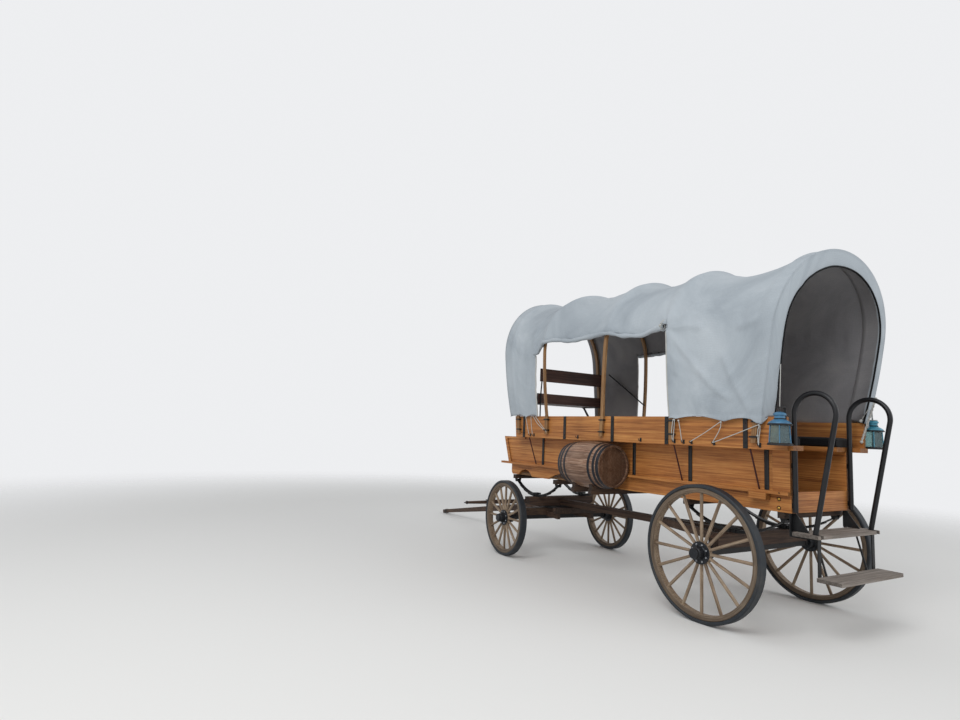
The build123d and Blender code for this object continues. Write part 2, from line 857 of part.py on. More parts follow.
# the canvas runs level over each bow and sags from one to the next
canvas_places = []
for name in canvas_order:
    for offset in (-canvas_rest, canvas_rest) if name.startswith("bow") else (0,):
        canvas_places.append((name, offset))

with BuildPart() as canopy:
    for (back, back_offset), (fore, fore_offset) in zip(canvas_places[:-1], canvas_places[1:]):
        with BuildSketch(station_plane(back).offset(back_offset)):
            add(canvas_section(back, 0, 0, canvas_thickness))
        with BuildSketch(station_plane(fore).offset(fore_offset)):
            add(canvas_section(fore, 0, 0, canvas_thickness))
        loft(ruled=True)
    with BuildSketch(station_plane("rear_hem")):
        add(canvas_section("rear_hem", 0, 0, canvas_thickness))
    with BuildSketch(station_plane("rear_hem").offset(-canvas_flange_set)):
        add(canvas_section("rear_hem", canvas_flange_side, canvas_flange_top, canvas_thickness))
    loft(ruled=True)
    for side, back_x, fore_x in windows:
        with Locations(((back_x + fore_x) / 2, side * spread_y, (board_top_z + window_top_z) / 2 - 10)):
            Box(fore_x - back_x, 400, window_top_z - board_top_z + 20, mode=Mode.SUBTRACT)
        with BuildSketch(Plane.YZ.offset(back_x)):
            with Locations((side * roll_y, window_top_z + 10)):
                Circle(roll_radius)
        extrude(amount=fore_x - back_x)
    with Locations((rear_axle_x, 0, board_top_z - 28)):
        Box(3 * box_length, 2 * (bow_outer_y - 2), 60, mode=Mode.SUBTRACT)
    # the hem's rear corner is tied up over the lantern's arm
    with Locations((rear_axle_x - 590 - 200, 0, hook_z + 15 - 100)):
        Box(400, 3 * spread_y, 200, mode=Mode.SUBTRACT)
canopy.part.label = "canopy"
export_step(canopy.part, "parts/canopy.step")

bow_leg = 215


def leg_x(name, side, z):
    """Middle of a bow's leg along the wagon, at a height."""
    lean, rise = station_rise(name)
    foot_x = rear_axle_x + stations[name][0] - (stations[name][3] if side < 0 else 0)
    return foot_x + lean / rise * cos(skew_angle(name)) * (z - board_top_z)


for name in ("bow_1", "bow_2", "bow_3", "bow_4", "bow_5"):
    height = station_height(name) - canvas_thickness - ridge_gap
    bow_inner_y = bow_outer_y - bow_thickness
    with BuildPart() as bow:
        with BuildSketch(station_plane(name).offset(-bow_width / 2)):
            with BuildLine():
                add(arch(name, bow_outer_y, bow_outer_y + canvas_belly, height))
                add(arch(name, bow_inner_y, bow_inner_y + canvas_belly, height - bow_thickness))
                for side in (1, -1):
                    foot_line(name, side * bow_outer_y, side * bow_inner_y)
            make_face()
        extrude(amount=bow_width)
        for side in (1, -1):
            top_x = leg_x(name, side, board_top_z + 4)
            low_x = leg_x(name, side, board_top_z - bow_leg)
            with BuildSketch(Plane.XZ.offset(-bow_outer_y if side > 0 else bow_inner_y)):
                with BuildLine():
                    Polyline(
                        (top_x - bow_width / 2, board_top_z + 4),
                        (top_x + bow_width / 2, board_top_z + 4),
                        (low_x + bow_width / 2, board_top_z - bow_leg),
                        (low_x - bow_width / 2, board_top_z - bow_leg),
                        close=True,
                    )
                make_face()
            extrude(amount=bow_thickness)
    bow.part.label = name
    export_step(bow.part, f"parts/{name}.step")

# Straps on the boards and sides, and the staples that hold the bow legs against the upper boards
staple_heights = (board_top_z - 40, board_top_z - 165)
staple_bar = 6
staple_reach = bow_thickness + bow_gap + 2
with BuildPart() as iron_straps:
    for side in (1, -1):
        for strap_back in upper_straps:
            with Locations((rear_axle_x + strap_back, side * (spread_y + strap_thickness / 2), box_top_z)):
                Box(
                    strap_width,
                    strap_thickness,
                    board_top_z - box_top_z,
                    align=(Align.CENTER, Align.CENTER, Align.MIN),
                )
        for strap_back in side_straps:
            with BuildSketch(Plane.XY.offset(ledge_z)):
                with BuildLine():
                    Polyline(
                        (rear_axle_x + strap_back - 20, side * side_y),
                        (rear_axle_x + strap_back - 20, side * (side_y + 7)),
                        (rear_axle_x + strap_back - 11, side * (side_y + 13)),
                        (rear_axle_x + strap_back + 11, side * (side_y + 13)),
                        (rear_axle_x + strap_back + 20, side * (side_y + 7)),
                        (rear_axle_x + strap_back + 20, side * side_y),
                        close=True,
                    )
                make_face()
            extrude(amount=box_top_z - ledge_z)
    for name in ("bow_1", "bow_2", "bow_3", "bow_4", "bow_5"):
        for staple_z in staple_heights:
            for side in (1, -1):
                staple_x = leg_x(name, side, staple_z)
                for end in (-1, 1):
                    prong_x = staple_x + end * (bow_width / 2 + 9)
                    with Locations((prong_x, side * (spread_y + staple_reach / 2), staple_z)):
                        Box(7, staple_reach, 14)
                with Locations((staple_x, side * (spread_y + staple_reach + staple_bar / 2), staple_z)):
                    Box(bow_width + 25, staple_bar, 14)
iron_straps.part.label = "iron_straps"
export_step(iron_straps.part, "parts/iron_straps.step")

# Driver's seat: a plank with a low rear board and a back rail, on irons from the upper boards
seat_rear_x = rear_axle_x + 2640
seat_half = 540
back_rail_z = seat_z + 316
back_rail_height = 160

with BuildPart() as driver_seat:
    with Locations((seat_rear_x + 25 + seat_depth / 2, 0, seat_z - 15)):
        Box(seat_depth, 2 * seat_half, 30)
    with Locations((seat_rear_x + 12.5, 0, seat_z + 30)):
        Box(25, 2 * seat_half, 120)
    with Locations((seat_rear_x - 29 - 12.5, 0, back_rail_z)):
        Box(25, 2 * seat_half, back_rail_height)
driver_seat.part.label = "driver_seat"
export_step(driver_seat.part, "parts/driver_seat.step")

seat_iron_y = 505
with BuildPart() as seat_irons:
    for side in (1, -1):
        with BuildSketch(Plane.XZ.offset(-side * seat_iron_y - 6)):
            with BuildLine():
                Polyline(
                    (seat_rear_x, bench_top_z),
                    (seat_rear_x, seat_z + 60),
                    (seat_rear_x - 17.5, back_rail_z - back_rail_height / 2),
                    (seat_rear_x - 17.5, back_rail_z + back_rail_height / 2),
                    (seat_rear_x - 29, back_rail_z + back_rail_height / 2),
                    (seat_rear_x - 29, back_rail_z - back_rail_height / 2),
                    (seat_rear_x - 12, seat_z + 60),
                    (seat_rear_x - 12, bench_top_z),
                    close=True,
                )
            make_face()
            with BuildLine():
                Polyline(
                    (seat_rear_x - 12, bench_top_z),
                    (seat_rear_x + 260, bench_top_z),
                    (seat_rear_x + 260, bench_top_z + 10),
                    (seat_rear_x - 12, bench_top_z + 10),
                    close=True,
                )
            make_face()
            with BuildLine():
                Polyline(
                    (seat_rear_x + 10, bench_top_z),
                    (seat_rear_x + 44, bench_top_z),
                    (seat_rear_x + 350, seat_z - 30),
                    (seat_rear_x + 316, seat_z - 30),
                    close=True,
                )
            make_face()
            with BuildLine():
                Polyline(
                    (seat_rear_x, seat_z - 40),
                    (seat_rear_x + 360, seat_z - 40),
                    (seat_rear_x + 360, seat_z - 30),
                    (seat_rear_x, seat_z - 30),
                    close=True,
                )
            make_face()
        extrude(amount=12)
seat_irons.part.label = "seat_irons"
export_step(seat_irons.part, "parts/seat_irons.step")

# Barrel: bulged staves with sunk heads, hoops in pairs, lying on two cradled bearers
stave_thickness = 18
head_set = 26
hoop_thickness = 2.5
# hoop's rear edge and width, from one end of the barrel
hoops = ((4, 34), (52, 30), (118, 30))
bulge = barrel_radius - hoop_thickness - barrel_head_radius
stave_radius = ((barrel_length / 2) ** 2 + bulge**2) / (2 * bulge)


def stave_reach(along):
    """Outer radius of the staves at a distance along the barrel."""
    from_middle = along - barrel_length / 2
    return barrel_head_radius + bulge - stave_radius + (stave_radius**2 - from_middle**2) ** 0.5


def barrel_band(start, end, near, far):
    """Ring about the barrel's axis between two offsets from the staves' outer face."""
    middle = (start + end) / 2
    with BuildPart() as band:
        with BuildSketch(Plane.XY):
            with BuildLine():
                outer = ThreePointArc(
                    (start, stave_reach(start) + far),
                    (middle, stave_reach(middle) + far),
                    (end, stave_reach(end) + far),
                )
                inner = ThreePointArc(
                    (start, stave_reach(start) + near),
                    (middle, stave_reach(middle) + near),
                    (end, stave_reach(end) + near),
                )
                Line(outer @ 0, inner @ 0)
                Line(outer @ 1, inner @ 1)
            make_face()
        revolve(axis=Axis.X)
    return band.part


barrel_place = Pos(barrel_rear_x, barrel_y, barrel_z)
with BuildPart() as barrel:
    add(barrel_band(0, barrel_length, -stave_thickness, 0))
    for head_x in (head_set, barrel_length - head_set - 16):
        with BuildSketch(Plane.YZ.offset(head_x)):
            Circle(stave_reach(head_set) - stave_thickness + 3)
        extrude(amount=16)
barrel.part = barrel_place * barrel.part
barrel.part.label = "barrel"
export_step(barrel.part, "parts/barrel.step")

with BuildPart() as barrel_hoops:
    for start, width in hoops:
        add(barrel_band(start, start + width, 0, hoop_thickness))
        add(barrel_band(barrel_length - start - width, barrel_length - start, 0, hoop_thickness))
barrel_hoops.part = barrel_place * barrel_hoops.part
barrel_hoops.part.label = "barrel_hoops"
export_step(barrel_hoops.part, "parts/barrel_hoops.step")

# Lanterns hung from the rear ends of the upper boards
lantern_x = bench_rear_x + 20
lantern_y = spread_y + 110
lantern_height = 228
lantern_base_z = hook_z - lantern_height - 40
lantern_glass_radius = 62
for name, side in (("lantern_left", 1), ("lantern_right", -1)):
    with BuildPart() as lantern:
        with BuildSketch(Plane.XZ):
            with BuildLine():
                Polyline(
                    (0, 0),
                    (78, 0),
                    (80, 22),
                    (70, 34),
                    (lantern_glass_radius, 40),
                    (56, 130),
                    (76, 134),
                    (78, 142),
                    (56, 166),
                    (36, 172),
                    (34, 200),
                    (42, 204),
                    (30, lantern_height - 4),
                    (0, lantern_height),
                    close=True,
                )
            make_face()
        revolve(axis=Axis.Z)
    placed = Pos(lantern_x, side * lantern_y, lantern_base_z) * lantern.part
    placed.label = name
    export_step(placed, f"parts/{name}.step")

# A flat iron arm from each upper board's end reaches over its lantern, which hangs by a wire bail
hook_bar = 5
with BuildPart() as lantern_hooks:
    for side in (1, -1):
        with BuildSketch(Plane.YZ.offset(lantern_x + 12)):
            with BuildLine():
                Polyline(
                    (side * spread_y, board_top_z - 36),
                    (side * spread_y, hook_z),
                    (side * (lantern_y + 8), hook_z),
                    (side * (lantern_y + 8), hook_z - hook_bar),
                    (side * (spread_y + hook_bar), hook_z - hook_bar),
                    (side * (spread_y + hook_bar), board_top_z - 36),
                    close=True,
                )
            make_face()
        extrude(amount=20)
        with Locations((lantern_x + 12, side * lantern_y, hook_z - hook_bar / 2)):
            Box(24, 16, hook_bar)
        bail_z = lantern_base_z + lantern_height
        with Locations((lantern_x, side * lantern_y, bail_z)):
            Cylinder(3, hook_z - hook_bar - bail_z, align=(Align.CENTER, Align.CENTER, Align.MIN))
lantern_hooks.part.label = "lantern_hooks"
export_step(lantern_hooks.part, "parts/lantern_hooks.step")

# Rails: a vertical leg on the box's end, a round bend, and a raked leg down to the upper step
rail_front_x = box_rear_x - rail_radius - 4
rail_bend_x = rail_front_x - rail_bend_radius
rail_bend_z = rail_top_z - rail_radius - rail_bend_radius
rail_rake = 11
bend_end_x = rail_bend_x - rail_bend_radius * cos(radians(rail_rake))
bend_end_z = rail_bend_z - rail_bend_radius * sin(radians(rail_rake))
rail_foot_z = upper_step_z - step_thickness
rail_foot_x = bend_end_x + (bend_end_z - rail_foot_z) * tan(radians(rail_rake))

with BuildPart() as handrails:
    for side in (1, -1):
        with BuildLine(Plane.XZ.offset(-side * rail_y)) as rail_line:
            Line((rail_front_x, box_bottom_z + 8), (rail_front_x, rail_bend_z))
            CenterArc((rail_bend_x, rail_bend_z), rail_bend_radius, 0, 180 + rail_rake)
            Line((bend_end_x, bend_end_z), (rail_foot_x, rail_foot_z))
        with BuildSketch(Plane((rail_front_x, side * rail_y, box_bottom_z + 8), z_dir=(0, 0, 1))):
            Circle(rail_radius)
        sweep(path=rail_line.wire())
        for clip_z in (box_bottom_z + 60, box_top_z - 120):
            with Locations((box_rear_x - 2, side * rail_y, clip_z)):
                Box(4, 26, 40)
    split(bisect_by=Plane.XY.offset(rail_foot_z), keep=Keep.TOP)
handrails.part.label = "handrails"
export_step(handrails.part, "parts/handrails.step")

# Steps: two planks on stair-shaped flat irons from under the box, the rails' feet let into the upper one
upper_step_front = box_rear_x - 14
lower_step_front = box_rear_x - 199
notch_radius = rail_radius + 2.5
with BuildPart() as steps:
    for step_front, step_depth, step_z in (
        (upper_step_front, upper_step_depth, upper_step_z),
        (lower_step_front, lower_step_depth, lower_step_z),
    ):
        with BuildSketch(Plane.XY.offset(step_z - step_thickness)):
            with Locations((step_front - step_depth / 2, 0)):
                RectangleRounded(step_depth, step_width, 14)
        extrude(amount=step_thickness)
    with BuildSketch(Plane.XY.offset(upper_step_z - step_thickness)):
        for side in (1, -1):
            with Locations((rail_foot_x - notch_radius, side * rail_y)):
                SlotCenterToCenter(2 * notch_radius, 2 * notch_radius)
    extrude(amount=step_thickness, mode=Mode.SUBTRACT)
steps.part.label = "steps"
export_step(steps.part, "parts/steps.step")

hanger_y = 400
hanger_bar = 8
hanger_bar_width = 40
drop_x = upper_step_front - upper_step_depth + 30
with BuildPart() as step_hangers:
    for side in (1, -1):
        with BuildSketch(Plane.XZ.offset(-side * hanger_y - hanger_bar_width / 2)):
            with BuildLine():
                Polyline(
                    (box_rear_x + 56, box_bottom_z),
                    (box_rear_x + 20, box_bottom_z),
                    (box_rear_x + 20, upper_step_z - step_thickness - hanger_bar),
                    (drop_x, upper_step_z - step_thickness - hanger_bar),
                    (drop_x, lower_step_z - step_thickness),
                )
                Polyline(
                    (drop_x, lower_step_z - step_thickness),
                    (lower_step_front - lower_step_depth + 20, lower_step_z - step_thickness),
                    (lower_step_front - lower_step_depth + 20, lower_step_z - step_thickness - hanger_bar),
                    (drop_x + hanger_bar, lower_step_z - step_thickness - hanger_bar),
                    (drop_x + hanger_bar, upper_step_z - step_thickness - 2 * hanger_bar),
                    (box_rear_x + 20 + hanger_bar, upper_step_z - step_thickness - 2 * hanger_bar),
                    (box_rear_x + 20 + hanger_bar, box_bottom_z - hanger_bar),
                    (box_rear_x + 56, box_bottom_z - hanger_bar),
                    (box_rear_x + 56, box_bottom_z),
                )
            make_face()
        extrude(amount=hanger_bar_width)
        with BuildSketch(Plane.XZ.offset(-side * (hanger_y - 100) - 5)):
            with BuildLine():
                Polyline(
                    (upper_step_front - 90, upper_step_z - step_thickness),
                    (upper_step_front - 102, upper_step_z - step_thickness),
                    (lower_step_front, lower_step_z - 2),
                    (lower_step_front, lower_step_z - step_thickness),
                    (lower_step_front + 8, lower_step_z - step_thickness),
                    close=True,
                )
            make_face()
        extrude(amount=10)
step_hangers.part.label = "step_hangers"
export_step(step_hangers.part, "parts/step_hangers.step")

# Tongue: a tapered pole that droops from its pin until the tip lies on the ground
tongue_droop = degrees(asin((tongue_pivot_z - tongue_tip_height / 2) / tongue_length))
forward = Vector(cos(radians(tongue_droop)), 0, -sin(radians(tongue_droop)))
upward = Vector(sin(radians(tongue_droop)), 0, cos(radians(tongue_droop)))
pivot = Vector(pivot_x, 0, tongue_pivot_z)


def on_tongue(along, above):
    """Plane across the pole, a distance along it from the pin and above its centre line."""
    return Plane(pivot + forward * along + upward * above, x_dir=(0, 1, 0), z_dir=forward)


def over_tongue(along, above):
    """Plane lying along the pole, x forward, facing up off its back."""
    return Plane(pivot + forward * along + upward * above, x_dir=forward, z_dir=upward)


with BuildPart() as tongue:
    with BuildSketch(on_tongue(-60, 0)):
        RectangleRounded(tongue_root_width, tongue_root_height, 10)
    extrude(amount=tree_ahead + 160)
    with BuildSketch(on_tongue(tree_ahead + 100, 0)):
        RectangleRounded(tongue_root_width, tongue_root_height, 10)
    with BuildSketch(on_tongue(tongue_length, 0)):
        RectangleRounded(tongue_tip_width, tongue_tip_height, 10)
    loft()
    with BuildSketch(Plane.XZ.offset(-tongue_root_width / 2 - 1)):
        with Locations((pivot_x, tongue_pivot_z)):
            Circle(tongue_pin_radius + running_clearance)
    extrude(amount=tongue_root_width + 2, mode=Mode.SUBTRACT)
tongue.part = tongue.part.rotate(king_axis, steering_at_rest)
tongue.part.label = "tongue"
export_step(tongue.part, "parts/tongue.step")

tree_pin_radius = 11
tree_plate = 6
tree_height = 56
tree_depth = 80
tree_bottom = tongue_root_height / 2 + tree_plate
with BuildPart() as tongue_irons:
    with BuildSketch(over_tongue(tree_ahead, tongue_root_height / 2)):
        Rectangle(130, tongue_root_width)
    extrude(amount=tree_plate)
    with BuildSketch(over_tongue(tree_ahead, tongue_root_height / 2)):
        Circle(tree_pin_radius)
    extrude(amount=tree_plate + tree_height + 18)
    with BuildSketch(over_tongue(tree_ahead, tree_bottom + tree_height + 1)):
        Circle(22)
    extrude(amount=8)
    with BuildSketch(on_tongue(tongue_length - 130, 0)):
        RectangleRounded(tongue_tip_width + 14, tongue_tip_height + 14, 14)
        RectangleRounded(tongue_tip_width + 3.2, tongue_tip_height + 3.2, 10, mode=Mode.SUBTRACT)
    extrude(amount=26)
tongue_irons.part = tongue_irons.part.rotate(king_axis, steering_at_rest)
tongue_irons.part.label = "tongue_irons"
export_step(tongue_irons.part, "parts/tongue_irons.step")

# Doubletree across the tongue, a singletree on a clevis at each end
tree_half = tree_spacing / 2 + 50
with BuildPart() as doubletree:
    with BuildSketch(over_tongue(tree_ahead, tree_bottom)):
        with BuildLine():
            Polyline(
                (-tree_depth / 2 - 8, -90),
                (-tree_depth / 2 - 8, 90),
                (-tree_depth / 2 + 12, tree_half),
                (tree_depth / 2 - 12, tree_half),
                (tree_depth / 2, 90),
                (tree_depth / 2, -90),
                (tree_depth / 2 - 12, -tree_half),
                (12 - tree_depth / 2, -tree_half),
                close=True,
            )
        make_face()
        Circle(tree_pin_radius + running_clearance, mode=Mode.SUBTRACT)
        with Locations((0, tree_spacing / 2), (0, -tree_spacing / 2)):
            Circle(8 + running_clearance, mode=Mode.SUBTRACT)
    extrude(amount=tree_height)
doubletree.part = doubletree.part.rotate(king_axis, steering_at_rest)
doubletree.part.label = "doubletree"
export_step(doubletree.part, "parts/doubletree.step")

single_radius = 24
single_tip_radius = 17
single_mid = tree_bottom + tree_height / 2
tree_line = pivot + forward * (tree_ahead + singletree_ahead) + upward * single_mid
clevis_pin_radius = 6
for name, side in (("singletree_left", 1), ("singletree_right", -1)):
    with BuildPart() as singletree:
        for end in (1, -1):
            centre = tree_line + Vector(0, side * tree_spacing / 2, 0)
            middle = Plane(centre, x_dir=forward, z_dir=(0, end, 0))
            with BuildSketch(middle):
                Circle(single_radius)
            with BuildSketch(middle.offset(singletree_length / 2)):
                Circle(single_tip_radius)
            loft()
        with BuildSketch(over_tongue(tree_ahead, tree_bottom)):
            with Locations((singletree_ahead, side * tree_spacing / 2)):
                Circle(clevis_pin_radius + 0.1)
        extrude(amount=tree_height, mode=Mode.SUBTRACT)
    singletree.part = singletree.part.rotate(king_axis, steering_at_rest)
    singletree.part.label = name
    export_step(singletree.part, f"parts/{name}.step")

# Clevises that hang the singletrees from the doubletree, and the eyes that take the traces
trace_eye_radius = 13
trace_eye_thickness = 12
trace_eye_ahead = single_tip_radius + 6 + trace_eye_radius + 7
for name, side in (("clevis_left", 1), ("clevis_right", -1)):
    with BuildPart() as clevis:
        for cheek in (tree_bottom - 1 - 7, tree_bottom + tree_height + 1):
            with BuildSketch(over_tongue(tree_ahead, cheek)):
                with Locations((singletree_ahead / 2, side * tree_spacing / 2)):
                    SlotCenterToCenter(singletree_ahead, 34)
            extrude(amount=7)
        with BuildSketch(over_tongue(tree_ahead, tree_bottom - 8)):
            with Locations((0, side * tree_spacing / 2)):
                Circle(8)
        extrude(amount=tree_height + 16)
        with BuildSketch(over_tongue(tree_ahead, tree_bottom - 1)):
            with Locations((singletree_ahead, side * tree_spacing / 2)):
                Circle(clevis_pin_radius)
        extrude(amount=tree_height + 2)
        for end in (1, -1):
            tip_y = side * tree_spacing / 2 + end * (singletree_length / 2 - 22)
            ferrule = Plane(tree_line + Vector(0, tip_y, 0), x_dir=forward, z_dir=(0, end, 0))
            with BuildSketch(ferrule):
                Circle(single_tip_radius + 6)
                Circle(single_tip_radius + 0.5, mode=Mode.SUBTRACT)
            extrude(amount=12)
            with BuildSketch(over_tongue(tree_ahead, single_mid - trace_eye_thickness / 2)):
                with Locations((singletree_ahead + trace_eye_ahead, tip_y + end * 6)):
                    Circle(trace_eye_radius + 10)
                    Circle(trace_eye_radius, mode=Mode.SUBTRACT)
            extrude(amount=trace_eye_thickness)
    clevis.part = clevis.part.rotate(king_axis, steering_at_rest)
    clevis.part.label = name
    export_step(clevis.part, f"parts/{name}.step")
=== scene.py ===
import math

import bmesh
import bpy
from mathutils import Matrix, Vector, noise


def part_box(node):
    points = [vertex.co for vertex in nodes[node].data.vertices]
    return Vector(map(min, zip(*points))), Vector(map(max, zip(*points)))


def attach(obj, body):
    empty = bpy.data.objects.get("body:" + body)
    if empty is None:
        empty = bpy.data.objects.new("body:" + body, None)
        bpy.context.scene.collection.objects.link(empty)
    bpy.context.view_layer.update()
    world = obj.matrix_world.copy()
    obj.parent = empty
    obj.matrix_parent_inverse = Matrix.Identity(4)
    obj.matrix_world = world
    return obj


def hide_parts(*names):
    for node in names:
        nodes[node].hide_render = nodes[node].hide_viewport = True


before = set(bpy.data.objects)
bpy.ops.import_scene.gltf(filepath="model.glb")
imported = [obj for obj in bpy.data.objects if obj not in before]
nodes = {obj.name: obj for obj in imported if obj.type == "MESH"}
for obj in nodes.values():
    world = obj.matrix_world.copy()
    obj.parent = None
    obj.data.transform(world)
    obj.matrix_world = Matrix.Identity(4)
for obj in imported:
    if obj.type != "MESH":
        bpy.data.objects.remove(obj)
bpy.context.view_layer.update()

steering = math.radians(-4.8)  # the front gear stands turned this far to the right
rearAxle = (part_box("tyre_rear_left")[0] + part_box("tyre_rear_left")[1]) / 2
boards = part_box("upper_board_left")
boardTop = boards[1].z
boardFace = boards[1].y
askew = 0.19  # the right ends of the bows and the right side's hooks stand this far behind the left ones

# Camera at the photograph's place, found from the wheels' rims and the box's edges
camera = {
    "place": (rearAxle.x - 3.4256, 5.1555, 1.4818),
    "yaw": -31.682,
    "pitch": 6.6725,
    "roll": 2.4197,
    "focalPixels": 609.36,
    "photoWidth": 960,
}


def placeCamera(spec):
    yaw, pitch, roll = (math.radians(spec[k]) for k in ("yaw", "pitch", "roll"))
    look = Vector((math.cos(yaw) * math.cos(pitch), math.sin(yaw) * math.cos(pitch), math.sin(pitch)))
    level = look.cross(Vector((0, 0, 1))).normalized()
    over = level.cross(look)
    right = level * math.cos(roll) + over * math.sin(roll)
    up = over * math.cos(roll) - level * math.sin(roll)
    lens = bpy.data.cameras.new("photoCamera")
    lens.sensor_width = 36
    lens.lens = spec["focalPixels"] / spec["photoWidth"] * lens.sensor_width
    lens.clip_end = 200
    holder = bpy.data.objects.new("photoCamera", lens)
    turned = Matrix((right, up, -look)).transposed().to_4x4()
    holder.matrix_world = Matrix.Translation(Vector(spec["place"])) @ turned
    bpy.context.scene.collection.objects.link(holder)
    bpy.context.scene.camera = holder


placeCamera(camera)
print("camera placed")


# colours are written as sRGB hex codes and turned to linear here
def hexLinear(code):
    parts = [int(code[i:i + 2], 16) / 255 for i in (0, 2, 4)]
    return tuple(c / 12.92 if c <= 0.04045 else ((c + 0.055) / 1.055) ** 2.4 for c in parts) + (1.0,)


# a number or an input's name sets or links that input, and any other name sets the node itself
def addNode(tree, kind, settings=None, links=None):
    node = tree.nodes.new("ShaderNode" + kind)
    for key, value in (settings or {}).items():
        if key == "stops":  # a ramp's places and hex colours
            elements = node.color_ramp.elements
            elements.remove(elements[1])
            for i, (place, code) in enumerate(value):
                stop = elements.new(place) if i else elements[0]
                stop.position, stop.color = place, hexLinear(code)
        elif isinstance(key, int) or key in node.inputs:
            node.inputs[key].default_value = value
        else:
            setattr(node, key, value)
    for key, source in (links or {}).items():  # a node given as a source stands for its first output
        socket = source.outputs[0] if isinstance(source, bpy.types.Node) else source
        tree.links.new(socket, node.inputs[key])
    return node


def newMaterial(name):
    material = bpy.data.materials.new(name)
    material.use_nodes = True
    material.node_tree.nodes.clear()
    return material, material.node_tree


def gauge(size):
    return 1000 / size  # texture repeats in a metre for a real size in millimetres


